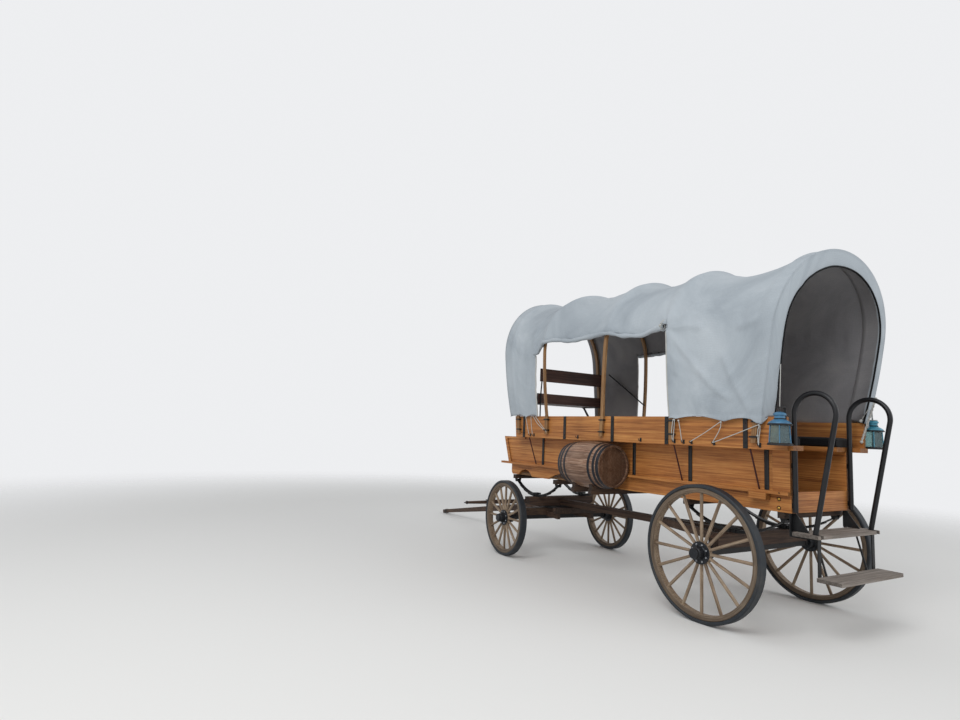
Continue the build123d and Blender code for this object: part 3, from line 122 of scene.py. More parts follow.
# Sawn and oiled softwood or hardwood: long streaks with the grain, darker pores, a soft sheen
def woodFinish(name, spec):
    material, tree = newMaterial(name)
    place = addNode(tree, "TexCoord").outputs["Object"]
    if "hub" in spec:  # a wheel: the grain runs out along the spokes and round the felloe
        centred = addNode(tree, "VectorMath", {"operation": "SUBTRACT", 1: spec["hub"]}, {0: place})
        flat = addNode(tree, "VectorRotate", {"rotation_type": "Z_AXIS", "Angle": -spec["turn"]},
                       {"Vector": centred})
        split = addNode(tree, "SeparateXYZ", None, {0: flat})
        squareX = addNode(tree, "Math", {"operation": "POWER", 1: 2}, {0: split})
        squareZ = addNode(tree, "Math", {"operation": "MULTIPLY_ADD"},
                          {0: split.outputs[2], 1: split.outputs[2], 2: squareX})
        out = addNode(tree, "Math", {"operation": "SQRT"}, {0: squareZ})
        angle = addNode(tree, "Math", {"operation": "ARCTAN2"}, {0: split.outputs[2], 1: split})
        arc = addNode(tree, "Math", {"operation": "MULTIPLY", 1: spec["rim"]}, {0: angle})
        spoke = addNode(tree, "CombineXYZ", None, {0: out, 1: arc, 2: split.outputs[1]})
        felloe = addNode(tree, "CombineXYZ", None, {0: arc, 1: out, 2: split.outputs[1]})
        atRim = addNode(tree, "Math", {"operation": "GREATER_THAN", 1: spec["rim"]}, {0: out})
        chosen = addNode(tree, "Mix", {"data_type": "VECTOR"}, {"Factor": atRim, 4: spoke, 5: felloe})
        place = chosen.outputs[1]
        spread = (gauge(spec["streak"]), gauge(spec["grain"]), gauge(spec["grain"]))
    else:
        spread = tuple(gauge(spec["streak"] if a == spec["along"] else spec["grain"]) for a in "XYZ")
    stretched = addNode(tree, "VectorMath", {"operation": "MULTIPLY", 1: spread}, {0: place})
    streaks = addNode(tree, "TexNoise", {"Scale": 1.0, "Detail": 7.0, "Roughness": 0.62, "Distortion": 0.35},
                      {"Vector": stretched})
    wide = addNode(tree, "VectorMath", {"operation": "MULTIPLY", 1: tuple(s * 0.16 for s in spread)}, {0: place})
    figure = addNode(tree, "TexNoise", {"Scale": 1.0, "Detail": 3.0, "Distortion": 1.6}, {"Vector": wide})
    mixed = addNode(tree, "Math", {"operation": "MULTIPLY_ADD", 1: 0.55}, {0: figure, 2: streaks})
    ramp = addNode(tree, "ValToRGB", {"stops": [(0.52, spec["dark"]), (0.74, spec["mid"]), (0.98, spec["light"])]},
                   {0: mixed})
    colour = ramp.outputs[0]
    patch = addNode(tree, "TexNoise", {"Scale": gauge(spec.get("patch", 420)), "Detail": 4.0, "Roughness": 0.6},
                    {"Vector": place})
    patchRamp = addNode(tree, "MapRange", {1: 0.35, 2: 0.7, 3: 0.0, 4: spec.get("stain", 0.4)}, {0: patch})
    stained = addNode(tree, "Mix", {"data_type": "RGBA", 7: hexLinear(spec["dark"])},
                      {"Factor": patchRamp, 6: colour})
    colour = stained.outputs[2]
    if "hub" in spec:  # the felloe is darker than the hand-worn spokes
        rimShade = addNode(tree, "MapRange", {1: 0.0, 2: 1.0, 3: 1.08, 4: 0.6}, {0: atRim})
        colour = addNode(tree, "VectorMath", {"operation": "SCALE"}, {0: colour, "Scale": rimShade}).outputs[0]
    if "boards" in spec:  # dark joints between the planks of a wide panel
        axis, width, start = spec["boards"]
        coordinate = addNode(tree, "SeparateXYZ", None, {0: place}).outputs["XYZ".index(axis)]
        shifted = addNode(tree, "Math", {"operation": "SUBTRACT", 1: start}, {0: coordinate})
        step = addNode(tree, "Math", {"operation": "PINGPONG", 1: width / 2}, {0: shifted})
        joint = addNode(tree, "MapRange", {1: 0.0, 2: 0.0025, 3: 0.85, 4: 0.0}, {0: step})
        jointed = addNode(tree, "Mix", {"data_type": "RGBA", 7: hexLinear("1d120a")}, {"Factor": joint, 6: colour})
        colour = jointed.outputs[2]
    if "along" in spec:  # how far a face looks along the grain
        facing = addNode(tree, "SeparateXYZ", None, {0: addNode(tree, "NewGeometry").outputs["True Normal"]})
        endways = addNode(tree, "Math", {"operation": "ABSOLUTE"}, {0: facing.outputs["XYZ".index(spec["along"])]})
    if "staves" in spec:  # each stave has its own shade and a dark joint, and the heads are upright boards
        centre, count, headBoard = spec["staves"]
        offset = addNode(tree, "VectorMath", {"operation": "SUBTRACT", 1: centre}, {0: place})
        parts = addNode(tree, "SeparateXYZ", None, {0: offset})
        angle = addNode(tree, "Math", {"operation": "ARCTAN2"}, {0: parts.outputs[2], 1: parts.outputs[1]})
        around = addNode(tree, "Math", {"operation": "MULTIPLY", 1: count / math.tau}, {0: angle})
        across = addNode(tree, "Math", {"operation": "MULTIPLY", 1: 1 / headBoard}, {0: parts.outputs[1]})
        isHead = addNode(tree, "Math", {"operation": "GREATER_THAN", 1: 0.8}, {0: endways})
        board = addNode(tree, "Mix", {"data_type": "FLOAT"}, {"Factor": isHead, 2: around, 3: across})
        index = addNode(tree, "Math", {"operation": "FLOOR"}, {0: board})
        tone = addNode(tree, "TexWhiteNoise", {"noise_dimensions": "1D"}, {"W": index})
        shade = addNode(tree, "MapRange", {1: 0.0, 2: 1.0, 3: 0.72, 4: 1.2}, {0: tone.outputs["Value"]})
        toned = addNode(tree, "VectorMath", {"operation": "SCALE"}, {0: colour, "Scale": shade})
        near = addNode(tree, "Math", {"operation": "PINGPONG", 1: 0.5}, {0: board})
        joint = addNode(tree, "MapRange", {1: 0.0, 2: 0.035, 3: 0.85, 4: 0.0}, {0: near})
        jointed = addNode(tree, "Mix", {"data_type": "RGBA", 7: hexLinear("17100b")}, {"Factor": joint, 6: toned})
        colour = jointed.outputs[2]
    if "along" in spec:  # end grain drinks more oil and looks darker
        endShade = addNode(tree, "MapRange", {1: 0.8, 2: 0.95, 3: 1.0, 4: 0.55}, {0: endways})
        colour = addNode(tree, "VectorMath", {"operation": "SCALE"}, {0: colour, "Scale": endShade}).outputs[0]
    dull = addNode(tree, "MapRange", {1: 0.3, 2: 1.0, 3: spec["rough"] + 0.12, 4: spec["rough"] - 0.06}, {0: mixed})
    softEdge = addNode(tree, "Bevel", {"Radius": 0.003})
    relief = addNode(tree, "Bump", {"Strength": 0.5, "Distance": spec.get("relief", 0.0012)},
                     {"Height": streaks, "Normal": softEdge})
    shader = addNode(tree, "BsdfPrincipled", {"Specular IOR Level": 0.35},
                     {"Base Color": colour, "Roughness": dull, "Normal": relief})
    addNode(tree, "OutputMaterial", None, {0: shader})
    return material


# Forged and painted iron: satin paint with dull patches, rubbed brighter and a little rusty at the edges
def ironFinish(name, spec):
    material, tree = newMaterial(name)
    place = addNode(tree, "TexCoord").outputs["Object"]
    fine = addNode(tree, "TexNoise", {"Scale": gauge(6), "Detail": 6.0, "Roughness": 0.65}, {"Vector": place})
    broad = addNode(tree, "TexNoise", {"Scale": gauge(spec.get("patch", 90)), "Detail": 5.0, "Roughness": 0.6},
                    {"Vector": place})
    ramp = addNode(tree, "ValToRGB", {"stops": [(0.3, spec["dark"]), (0.7, spec["light"])]}, {0: broad})
    softEdge = addNode(tree, "Bevel", {"Radius": 0.003})
    facing = addNode(tree, "NewGeometry").outputs["Normal"]
    same = addNode(tree, "VectorMath", {"operation": "DOT_PRODUCT"}, {0: softEdge, 1: facing})
    edge = addNode(tree, "MapRange", {1: 0.995, 2: 0.9, 3: 0.0, 4: 1.0}, {0: same.outputs["Value"]})
    broken = addNode(tree, "MapRange", {1: 0.45, 2: 0.62, 3: 0.0, 4: spec.get("worn", 0.6)}, {0: fine})
    wear = addNode(tree, "Math", {"operation": "MULTIPLY"}, {0: edge, 1: broken})
    bare = addNode(tree, "Mix", {"data_type": "RGBA", 7: hexLinear(spec["bare"])}, {"Factor": wear, 6: ramp})
    spots = addNode(tree, "MapRange", {1: 0.6, 2: 0.78, 3: 0.0, 4: spec.get("rust", 0.35)}, {0: broad})
    rusted = addNode(tree, "Mix", {"data_type": "RGBA", 7: hexLinear("4a2a17")},
                     {"Factor": spots, 6: bare.outputs[2]})
    dull = addNode(tree, "MapRange", {1: 0.3, 2: 0.7, 3: spec["rough"] - 0.08, 4: spec["rough"] + 0.14}, {0: fine})
    relief = addNode(tree, "Bump", {"Strength": 0.35, "Distance": 0.0006}, {"Height": fine, "Normal": softEdge})
    shader = addNode(tree, "BsdfPrincipled", {"Metallic": spec.get("metal", 0.25)},
                     {"Base Color": rusted.outputs[2], "Roughness": dull, "Normal": relief})
    addNode(tree, "OutputMaterial", None, {0: shader})
    return material


# Thin tinted glass: clear in the middle, dusty towards its edges
def glassFinish(name, spec):
    material, tree = newMaterial(name)
    place = addNode(tree, "TexCoord").outputs["Object"]
    dust = addNode(tree, "TexNoise", {"Scale": gauge(25), "Detail": 5.0}, {"Vector": place})
    haze = addNode(tree, "MapRange", {1: 0.4, 2: 0.75, 3: spec["rough"], 4: spec["rough"] + 0.25}, {0: dust})
    relief = addNode(tree, "Bump", {"Strength": 0.15, "Distance": 0.001}, {"Height": dust})
    shader = addNode(tree, "BsdfPrincipled", {"Base Color": hexLinear(spec["tint"]), "Transmission Weight": 0.9},
                     {"Roughness": haze, "Normal": relief})
    addNode(tree, "OutputMaterial", None, {0: shader})
    return material


# Moulded rubber: an even satin skin with faint scuffs and dust
def rubberFinish(name, spec):
    material, tree = newMaterial(name)
    place = addNode(tree, "TexCoord").outputs["Object"]
    scuffs = addNode(tree, "TexNoise", {"Scale": gauge(35), "Detail": 7.0, "Roughness": 0.7}, {"Vector": place})
    ramp = addNode(tree, "ValToRGB", {"stops": [(0.35, spec["dark"]), (0.68, spec["light"])]}, {0: scuffs})
    broad = addNode(tree, "TexNoise", {"Scale": gauge(260), "Detail": 5.0, "Roughness": 0.65}, {"Vector": place})
    dusty = addNode(tree, "MapRange", {1: 0.52, 2: 0.8, 3: 0.0, 4: 0.55}, {0: broad})
    coated = addNode(tree, "Mix", {"data_type": "RGBA", 7: hexLinear(spec["dust"])}, {"Factor": dusty, 6: ramp})
    dull = addNode(tree, "MapRange", {1: 0.3, 2: 0.7, 3: spec["rough"] - 0.1, 4: spec["rough"] + 0.15}, {0: scuffs})
    softEdge = addNode(tree, "Bevel", {"Radius": 0.004})
    relief = addNode(tree, "Bump", {"Strength": 0.25, "Distance": 0.0005}, {"Height": scuffs, "Normal": softEdge})
    shader = addNode(tree, "BsdfPrincipled", None,
                     {"Base Color": coated.outputs[2], "Roughness": dull, "Normal": relief})
    addNode(tree, "OutputMaterial", None, {0: shader})
    return material


# Plain-woven cotton: warp and weft threads, faint slubs, weather marks. A wave node's bands come out tau times
# wider than the thread size given here, which is far coarser than real, so that the weave shows at all.
def clothFinish(name, spec):
    material, tree = newMaterial(name)
    place = addNode(tree, "TexCoord").outputs["UV"]
    threads = {"wave_type": "BANDS", "Scale": gauge(spec["thread"]) / 20, "Distortion": 0.6}
    warp, weft = (addNode(tree, "TexWave", {**threads, "bands_direction": way}, {"Vector": place}) for way in "XY")
    weave = addNode(tree, "Math", {"operation": "MULTIPLY"}, {0: warp.outputs["Fac"], 1: weft.outputs["Fac"]})
    slubs = addNode(tree, "TexNoise", {"Scale": gauge(14), "Detail": 4.0}, {"Vector": place})
    marks = addNode(tree, "TexNoise",
                    {"Scale": gauge(spec["patch"]), "Detail": 6.0, "Roughness": 0.62, "Distortion": 0.8},
                    {"Vector": place})
    ramp = addNode(tree, "ValToRGB", {"stops": [(0.28, spec["dark"]), (0.5, spec["mid"]), (0.74, spec["light"])]},
                   {0: marks})
    woven = addNode(tree, "MapRange", {1: 0.0, 2: 1.0, 3: 0.93, 4: 1.03}, {0: weave})
    slubbed = addNode(tree, "MapRange", {1: 0.3, 2: 0.7, 3: 0.96, 4: 1.03}, {0: slubs})
    shade = addNode(tree, "Math", {"operation": "MULTIPLY"}, {0: woven, 1: slubbed})
    tinted = addNode(tree, "VectorMath", {"operation": "SCALE"}, {0: ramp, "Scale": shade})
    height = addNode(tree, "Math", {"operation": "ADD"}, {0: weave, 1: slubs})
    relief = addNode(tree, "Bump", {"Strength": 0.45, "Distance": 0.0006}, {"Height": height})
    surface = {"Roughness": 0.92, "Specular IOR Level": 0.2, "Sheen Weight": spec["sheen"], "Sheen Roughness": 0.5}
    shader = addNode(tree, "BsdfPrincipled", surface, {"Base Color": tinted, "Normal": relief})
    addNode(tree, "OutputMaterial", None, {0: shader})
    return material


barrelMiddle = (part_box("barrel")[0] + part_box("barrel")[1]) / 2
# grain and streak are a streak's real width and length in millimetres, and patch is the size of a stain
woodSpecs = {
    # oiled pine, flat-sawn, honey orange with brown late-wood streaks
    "oiledPine": {"light": "cf9352", "mid": "b0713a", "dark": "6e411f", "grain": 9, "streak": 420, "along": "X",
                  "rough": 0.5, "stain": 0.35},
    # the same pine on end boards, grain across the wagon
    "oiledPineAcross": {"light": "c88c4f", "mid": "a96b38", "dark": "683d1e", "grain": 9, "streak": 420,
                        "along": "Y", "rough": 0.5},
    # planks inside, dull and scuffed: the axis across them, their width and where one starts
    "wornPlanks": {"light": "9a7a5a", "mid": "76583c", "dark": "3c2a1b", "grain": 8, "streak": 380, "along": "X",
                   "rough": 0.72, "boards": ("Y", 0.14, 0.0)},
    # old oak of the running gear, nearly black brown
    "gearOak": {"light": "5f4a38", "mid": "43322a", "dark": "1f1712", "grain": 7, "streak": 300, "along": "X",
                "rough": 0.7, "relief": 0.002},
    "gearOakAcross": {"light": "5f4a38", "mid": "43322a", "dark": "1f1712", "grain": 7, "streak": 300, "along": "Y",
                      "rough": 0.7, "relief": 0.002},
    # steam-bent ash of the bows, bare and pale
    "bentAsh": {"light": "b08a5e", "mid": "8f6a44", "dark": "5e4128", "grain": 6, "streak": 260, "along": "Z",
                "rough": 0.6},
    # dark stained seat boards
    "stainedSeat": {"light": "5d3a2c", "mid": "43271e", "dark": "1f110d", "grain": 7, "streak": 320, "along": "Y",
                    "rough": 0.5},
    # varnished oak staves: the barrel's middle, how many there are and the width of the heads' boards
    "varnishedOak": {"light": "b3967f", "mid": "84614b", "dark": "3c2920", "grain": 6, "streak": 260, "along": "X",
                     "rough": 0.36, "staves": (tuple(barrelMiddle), 22, 0.062), "stain": 0.3},
    # silver-grey step planks, rained on
    "greyPlank": {"light": "a29a93", "mid": "80776f", "dark": "57504b", "grain": 6, "streak": 300, "along": "Y",
                  "rough": 0.82, "relief": 0.002},
}
made = {name: woodFinish(name, spec) for name, spec in woodSpecs.items()}
ironSpecs = {
    # blacksmith's iron under satin black paint
    "blackIron": {"dark": "0d0e10", "light": "1c1d1f", "bare": "4a4743", "rough": 0.48},
    # cast hub under dark paint
    "castHub": {"dark": "15171b", "light": "2b2e33", "bare": "7a7a78", "rough": 0.42, "metal": 0.5},
    # dark red paint of the brace rods
    "redPaint": {"dark": "2c0d0b", "light": "47140f", "bare": "4a4743", "rough": 0.45},
    # hoop iron, rolled and blued, a little brighter than the painted irons
    "hoopIron": {"dark": "131419", "light": "25272e", "bare": "5c606c", "rough": 0.4, "metal": 0.5, "rust": 0.2},
    # blue and teal enamel on the lanterns' tin
    "lanternBlue": {"dark": "2f5a7a", "light": "4f83a6", "bare": "9fb4c0", "rough": 0.34, "metal": 0.1,
                    "rust": 0.08, "worn": 0.4, "patch": 40},
    "lanternTeal": {"dark": "2a7489", "light": "4a9bb5", "bare": "a8bfc6", "rough": 0.34, "metal": 0.1,
                    "rust": 0.08, "worn": 0.4, "patch": 40},
    # plated nuts of the hubs and dulled brass of the side bolts
    "brightSteel": {"dark": "8d9096", "light": "b4b7bb", "bare": "c8cacc", "rough": 0.3, "metal": 0.9, "rust": 0.1,
                    "patch": 20},
    "agedBrass": {"dark": "a07a35", "light": "d8b05a", "bare": "ecd08c", "rough": 0.36, "metal": 0.9, "rust": 0.1,
                  "patch": 20},
    # powder-coated tube of the rails
    "railPaint": {"dark": "0b0c0f", "light": "17181c", "bare": "3a3a3c", "rough": 0.36, "rust": 0.12, "worn": 0.4},
}
made.update({name: ironFinish(name, spec) for name, spec in ironSpecs.items()})
clothSpecs = {
    # cotton duck, pale grey-white with cool weather marks
    "cottonDuck": {"thread": 2.4, "patch": 900, "dark": "98a1a9", "mid": "adb6bd", "light": "c0c8ce",
                   "sheen": 0.15},
    # its inner face, painted darker and greyer as shade, and with less sheen
    "cottonDuckPaintedShade": {"thread": 2.4, "patch": 700, "dark": "7b7a7d", "mid": "8b8a8c", "light": "9c9a9a",
                         "sheen": 0.05},
    # three-strand white cotton rope, a little grey with handling
    "cottonRope": {"thread": 3, "patch": 60, "dark": "a9a9a6", "mid": "c9c9c4", "light": "dcdcd6", "sheen": 0.1},
    # black cotton twill of the bench cushions, also on the black cord in the cover's rear hem that paints the
    # shadow line at the hem's inner lip
    "blackTwill": {"thread": 2.6, "patch": 300, "dark": "09090b", "mid": "0e0e11", "light": "17171b",
                   "sheen": 0.08},
}
made.update({name: clothFinish(name, spec) for name, spec in clothSpecs.items()})
# old window glass with a green-blue cast
made["lanternPane"] = glassFinish("lanternPane", {"tint": "b5cfcf", "rough": 0.05})
# smooth road rubber, blue-black, greyed with dust in patches
tyreSpec = {"dark": "10151a", "light": "222a32", "dust": "4d4a46", "rough": 0.58}
made["tyreRubber"] = rubberFinish("tyreRubber", tyreSpec)

# hand-worn ash of the spokes and felloes; the felloe starts this far in from the tyre's outside
spokeAsh = {"light": "b0a08b", "mid": "8b7762", "dark": "4a3b30", "grain": 6, "streak": 180, "rough": 0.6,
            "stain": 0.6, "patch": 260}
felloeDepth = 0.071
wheelCorners = ("rear_left", "rear_right", "front_left", "front_right")
for corner in wheelCorners:
    low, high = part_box("tyre_" + corner)
    turn = steering if corner.startswith("front") else 0.0
    place = {"hub": tuple((low + high) / 2), "turn": turn, "rim": (high.z - low.z) / 2 - felloeDepth}
    made["spokeAsh_" + corner] = woodFinish("spokeAsh_" + corner, {**spokeAsh, **place})

nodeFinish = {
    "oiledPine": ["side_left", "side_right", "side_battens", "benches", "upper_board_left", "upper_board_right"],
    "oiledPineAcross": ["end_boards"],
    "wornPlanks": ["floor_boards"],
    "gearOak": ["reach", "front_hounds", "tongue"],
    "gearOakAcross": ["rear_axle_bed", "front_axle_bed", "front_bolster", "floor_bearers", "doubletree",
                      "singletree_left", "singletree_right"],
    "bentAsh": ["bow_1", "bow_2", "bow_3", "bow_4", "bow_5"],
    "stainedSeat": ["driver_seat"],
    "varnishedOak": ["barrel"],
    "greyPlank": ["steps"],
    "blackIron": ["rear_axle", "front_axle", "turntable_upper", "turntable_lower", "rear_springs", "front_springs",
                  "spring_hangers", "iron_straps", "seat_irons", "lantern_hooks", "step_hangers", "tongue_irons",
                  "clevis_left", "clevis_right", "lantern_left", "lantern_right"],
    "hoopIron": ["barrel_hoops"],
    "redPaint": ["brace_rods"],
    "railPaint": ["handrails"],
    "tyreRubber": ["tyre_rear_left", "tyre_rear_right", "tyre_front_left", "tyre_front_right"],
    "castHub": ["hub_rear_left", "hub_rear_right", "hub_front_left", "hub_front_right"],
    "cottonDuck": ["canopy"],
    "blackTwill": ["cushion_left", "cushion_right"],
}


def paint(piece, finish):
    piece.data.materials.clear()
    piece.data.materials.append(made[finish])


for finish, names in nodeFinish.items():
    for name in names:
        paint(nodes[name], finish)
for corner in wheelCorners:
    paint(nodes["wheel_" + corner], "spokeAsh_" + corner)
print("materials made")


# Shapes are a list of points and a list of faces, and one or more of them make a piece
def newPiece(name, shapes, finish, body, crease=40):
    points, faces = [], []
    for shapePoints, shapeFaces in shapes:
        start = len(points)
        points += [tuple(p) for p in shapePoints]
        faces += [tuple(i + start for i in face) for face in shapeFaces]
    mesh = bpy.data.meshes.new(name)
    mesh.from_pydata(points, [], faces)
    mesh.polygons.foreach_set("use_smooth", [True] * len(mesh.polygons))
    mesh.set_sharp_from_angle(angle=math.radians(crease))
    piece = bpy.data.objects.new(name, mesh)
    bpy.context.scene.collection.objects.link(piece)
    mesh.materials.append(made[finish])
    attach(piece, body)
    return piece


def moved(shape, matrix):
    return [matrix @ Vector(p) for p in shape[0]], shape[1]


# a shape made upright is laid so that its top looks outward
def faced(shape, place, outward):
    turned = Vector((0, 0, 1)).rotation_difference(Vector(outward)).to_matrix().to_4x4()
    return moved(shape, Matrix.Translation(Vector(place)) @ turned)


# the quads between each ring of points and the next
def loftFaces(rings, steps):
    faces = []
    for i in range(rings - 1):
        for k in range(steps):
            after = (k + 1) % steps
            faces.append((i * steps + k, i * steps + after, (i + 1) * steps + after, (i + 1) * steps + k))
    return faces


# a plate of four corners: its back, its front and its edges
plateFaces = [(0, 1, 2, 3), (7, 6, 5, 4), (0, 4, 5, 1), (1, 5, 6, 2), (2, 6, 7, 3), (3, 7, 4, 0)]


def tubeShape(path, radius, sides=10):
    path = [Vector(p) for p in path]
    points = []
    side = Vector((0, 0, 1)) if abs((path[1] - path[0]).normalized().z) < 0.9 else Vector((1, 0, 0))
    for i, place in enumerate(path):
        run = (path[min(i + 1, len(path) - 1)] - path[max(i - 1, 0)]).normalized()
        side = (side - run * side.dot(run)).normalized()
        other = run.cross(side)
        for k in range(sides):
            turn = math.tau * k / sides
            points.append(place + (side * math.cos(turn) + other * math.sin(turn)) * radius)
    faces = loftFaces(len(path), sides)
    faces.append(tuple(reversed(range(sides))))
    faces.append(tuple(range((len(path) - 1) * sides, len(path) * sides)))
    return points, faces


def ringShape(place, radius, thick, axis="Z", steps=14):
    loop = []
    for k in range(steps + 1):
        c, s = radius * math.cos(math.tau * k / steps), radius * math.sin(math.tau * k / steps)
        loop.append(Vector(place) + Vector({"Z": (c, s, 0), "Y": (c, 0, s), "X": (0, c, s)}[axis]))
    return tubeShape(loop, thick, 6)


# a knot is three small rings across one another
def knotShapes(place, radius, thick):
    return [ringShape(place, radius, thick, axis) for axis in "XYZ"]


def latheShape(profile, steps=32):
    points = []
    for r, z in profile:
        for k in range(steps):
            points.append((r * math.cos(math.tau * k / steps), r * math.sin(math.tau * k / steps), z))
    faces = loftFaces(len(profile), steps)
    if profile[0][0] > 0:
        faces.append(tuple(reversed(range(steps))))
    if profile[-1][0] > 0:
        faces.append(tuple(range((len(profile) - 1) * steps, len(profile) * steps)))
    return points, faces


def blockShape(low, high, edge=0.002):
    work = bmesh.new()
    bmesh.ops.create_cube(work, size=1)
    low, high = Vector(low), Vector(high)
    for vert in work.verts:
        vert.co = Vector(low[i] if vert.co[i] < 0 else high[i] for i in range(3))
    bmesh.ops.bevel(work, geom=work.edges[:], offset=edge, segments=2, profile=0.7, affect="EDGES")
    work.verts.index_update()
    shape = [v.co.copy() for v in work.verts], [tuple(v.index for v in f.verts) for f in work.faces]
    work.free()
    return shape


# Canvas cover: one sheet over five leaning bows that stand askew, its long side flaps rolled up
canvas = {
    "foot": boardFace + 0.04,  # from the middle out to the sheet at the boards' top
    "footInside": 0.009,  # a bow's own foot stands this far inside the sheet
    "belly": 0.036,  # the bows swell out this much more above it
    "leanShift": 0.75,  # how far a leaning bow's middle goes to one side, as a share of its lean
    "sag": (0.115, 0.08, 0.075, 0.085),  # how far the roof hangs between the bows, from the rear
    "sagPower": 1.4,  # how closely the sag keeps to the crown
    "drawIn": 0.034,  # share by which the sides draw in between the bows
    "windowTop": 2.53,
    "hemTurn": (0.1, 0.14),  # the rear hem turns in this far, at the sides and at the top
    "hemRows": 4,  # rows of points in each hanging hem, up each side to the windows' tops, and over the roof
    "sideRows": 38,
    "roofRows": 64,
    # the turned hem's section from its inner lip out to the edge: share of that width, and how far behind the edge
    "hemCurl": ((0.44, -0.17), (0.47, -0.13), (0.52, -0.09), (0.64, -0.05), (0.84, 0.0), (0.97, 0.026),
                (1.0, 0.031), (0.96, 0.032), (0.7, 0.027), (0.4, 0.018), (0.15, 0.007), (0.04, 0.002)),
    "sleeve": 4,  # the first strips of that section lie inside the last bow and take the inner face's material, darker with painted shade
    "lipColumn": 6,  # the place in that section that turns in furthest
    "cordHeight": 2.14,  # the left lantern's cord hangs from the lip here
    "thick": 0.0016,
    "piping": 0.0085,  # radius of a black cord along the inner lip of the turned rear hem, a painted shadow line
    "edgeCord": 0.0075,  # rope sewn into the windows' upright edges
    "wrinkle": 1.0,  # 0 irons the sheet flat
    # how often each kind of unevenness comes along and across the sheet, its seed, and its height
    "soft": (1.4, 2.1, 3.0, 0.008),
    "fine": (5, 9, 9.0, 0.003),
    "crumple": (16, 12, 5.0, 0.0012),
    "ridge": 0.006,  # sharper ridges in the slack cloth, the rolls' gathers, and the hems' waves
    "gather": 0.004,
    "hemWave": 0.006,
    "sink": 0.003,  # the slack cloth lies this much deeper
    "bowRidge": 0.009,  # the sheet stands up this much over the middle of a bow, and wrinkles less there
    "bowHold": 0.85,
    "bowHalf": 0.0275,  # over each bow the sheet runs level this far to both sides of its middle
    "bowReach": 0.05,  # from there the bow's hold fades over this distance
    "hemNear": 0.6,  # the turned hem is held this much, where 1 is over a bow
    # left foot, crown and crown height of each arch from the rear axle, and its right foot's distance behind
    "arches": (
        (-0.445, -0.785, 3.112, askew),
        (-0.385, -0.690, 3.110, askew),
        (0.490, 0.395, 3.160, askew),
        (1.415, 1.190, 3.190, askew),
        (2.370, 2.200, 3.215, 0.4),
        (2.950, 3.060, 3.235, askew),
        (3.075, 3.190, 3.255, askew),
    ),
    "tie": (0.5, 2.56),  # where the left flap's roll is tied up, along and up
    "tieKnot": (0.008, 0.006),
    "tieFolds": 7,  # folds that run out from there, their depth and how far they reach
    "tieDepth": 0.024,
    "tieReach": 0.15,
    "slackSteps": 38,  # columns between two bows, over a bow, and at the sheet's two ends
    "bowSteps": 4,
    "endSteps": 3,
    # left and right window: the span and the step in it of the rear edge and of the front edge
    "windows": {1: ((3, 2), (8, 9)), -1: ((3, 2), (8, 6))},
    # height of the left window's rolled edge above the plain line, along from the axle
    "rollLine": ((0.45, 0.01), (0.63, 0.0), (0.83, -0.03), (1.05, -0.01), (1.3, 0.04), (1.57, 0.028),
                 (1.86, 0.024), (2.2, 0.06), (2.36, 0.05), (2.42, 0.0), (2.5, -0.07), (2.62, -0.08)),
    # rope ties along the left hem, and how far each pulls it below the boards' top
    "hemTies": ((-0.46, 0.064), (-0.09, 0.045), (0.42, 0.02), (0.5, 0.02), (2.5, 0.01), (2.75, 0.012),
                (3.08, 0.006)),
    "roll": 0.027,  # radius, turns and steps of the flaps' rolls, and how much they tighten inward
    "rollTurns": 1.5,
    "rollSteps": 21,
    "rollTighten": 0.4,
    "lumps": (0.28, 0.12),  # how much a roll swells in its long and in its short lumps
    "foldHalf": 0.026,
    "foldDepth": 0.021,
    # folds on the left rear panel, each a line of places along and up
    "folds": (
        ((0.47, 2.5), (0.37, 2.36), (0.19, 2.15), (0.03, 1.97), (-0.12, 1.86)),
        ((0.48, 2.53), (0.36, 2.6), (0.24, 2.72)),
        ((0.48, 2.52), (0.3, 2.53), (0.16, 2.5)),
        ((-0.26, 2.45), (-0.46, 2.5)),
        ((0.45, 2.44), (0.42, 2.25), (0.4, 2.1)),
        ((-0.35, 1.72), (-0.2, 1.98), (-0.1, 2.2)),
    ),
}
crownRow = canvas["hemRows"] + canvas["sideRows"] + canvas["roofRows"] // 2


# a smooth line through a table of places and heights
def along(table, x):
    for (x0, v0), (x1, v1) in zip(table[:-1], table[1:]):
        if x <= x1:
            s = min(1, max(0, (x - x0) / (x1 - x0)))
            return v0 + (v1 - v0) * s * s * (3 - 2 * s)
    return table[-1][1]


# how far the hem hangs below the boards' top: lowest at each rope tie, in shallow arches between
def hemDrop(x):
    for (x0, v0), (x1, v1) in zip(canvas["hemTies"][:-1], canvas["hemTies"][1:]):
        if x <= x1:
            s = min(1, max(0, (x - x0) / (x1 - x0)))
            return v0 + (v1 - v0) * s - min(0.036, 0.12 * (x1 - x0)) * math.sin(math.pi * s)
    return canvas["hemTies"][-1][1]


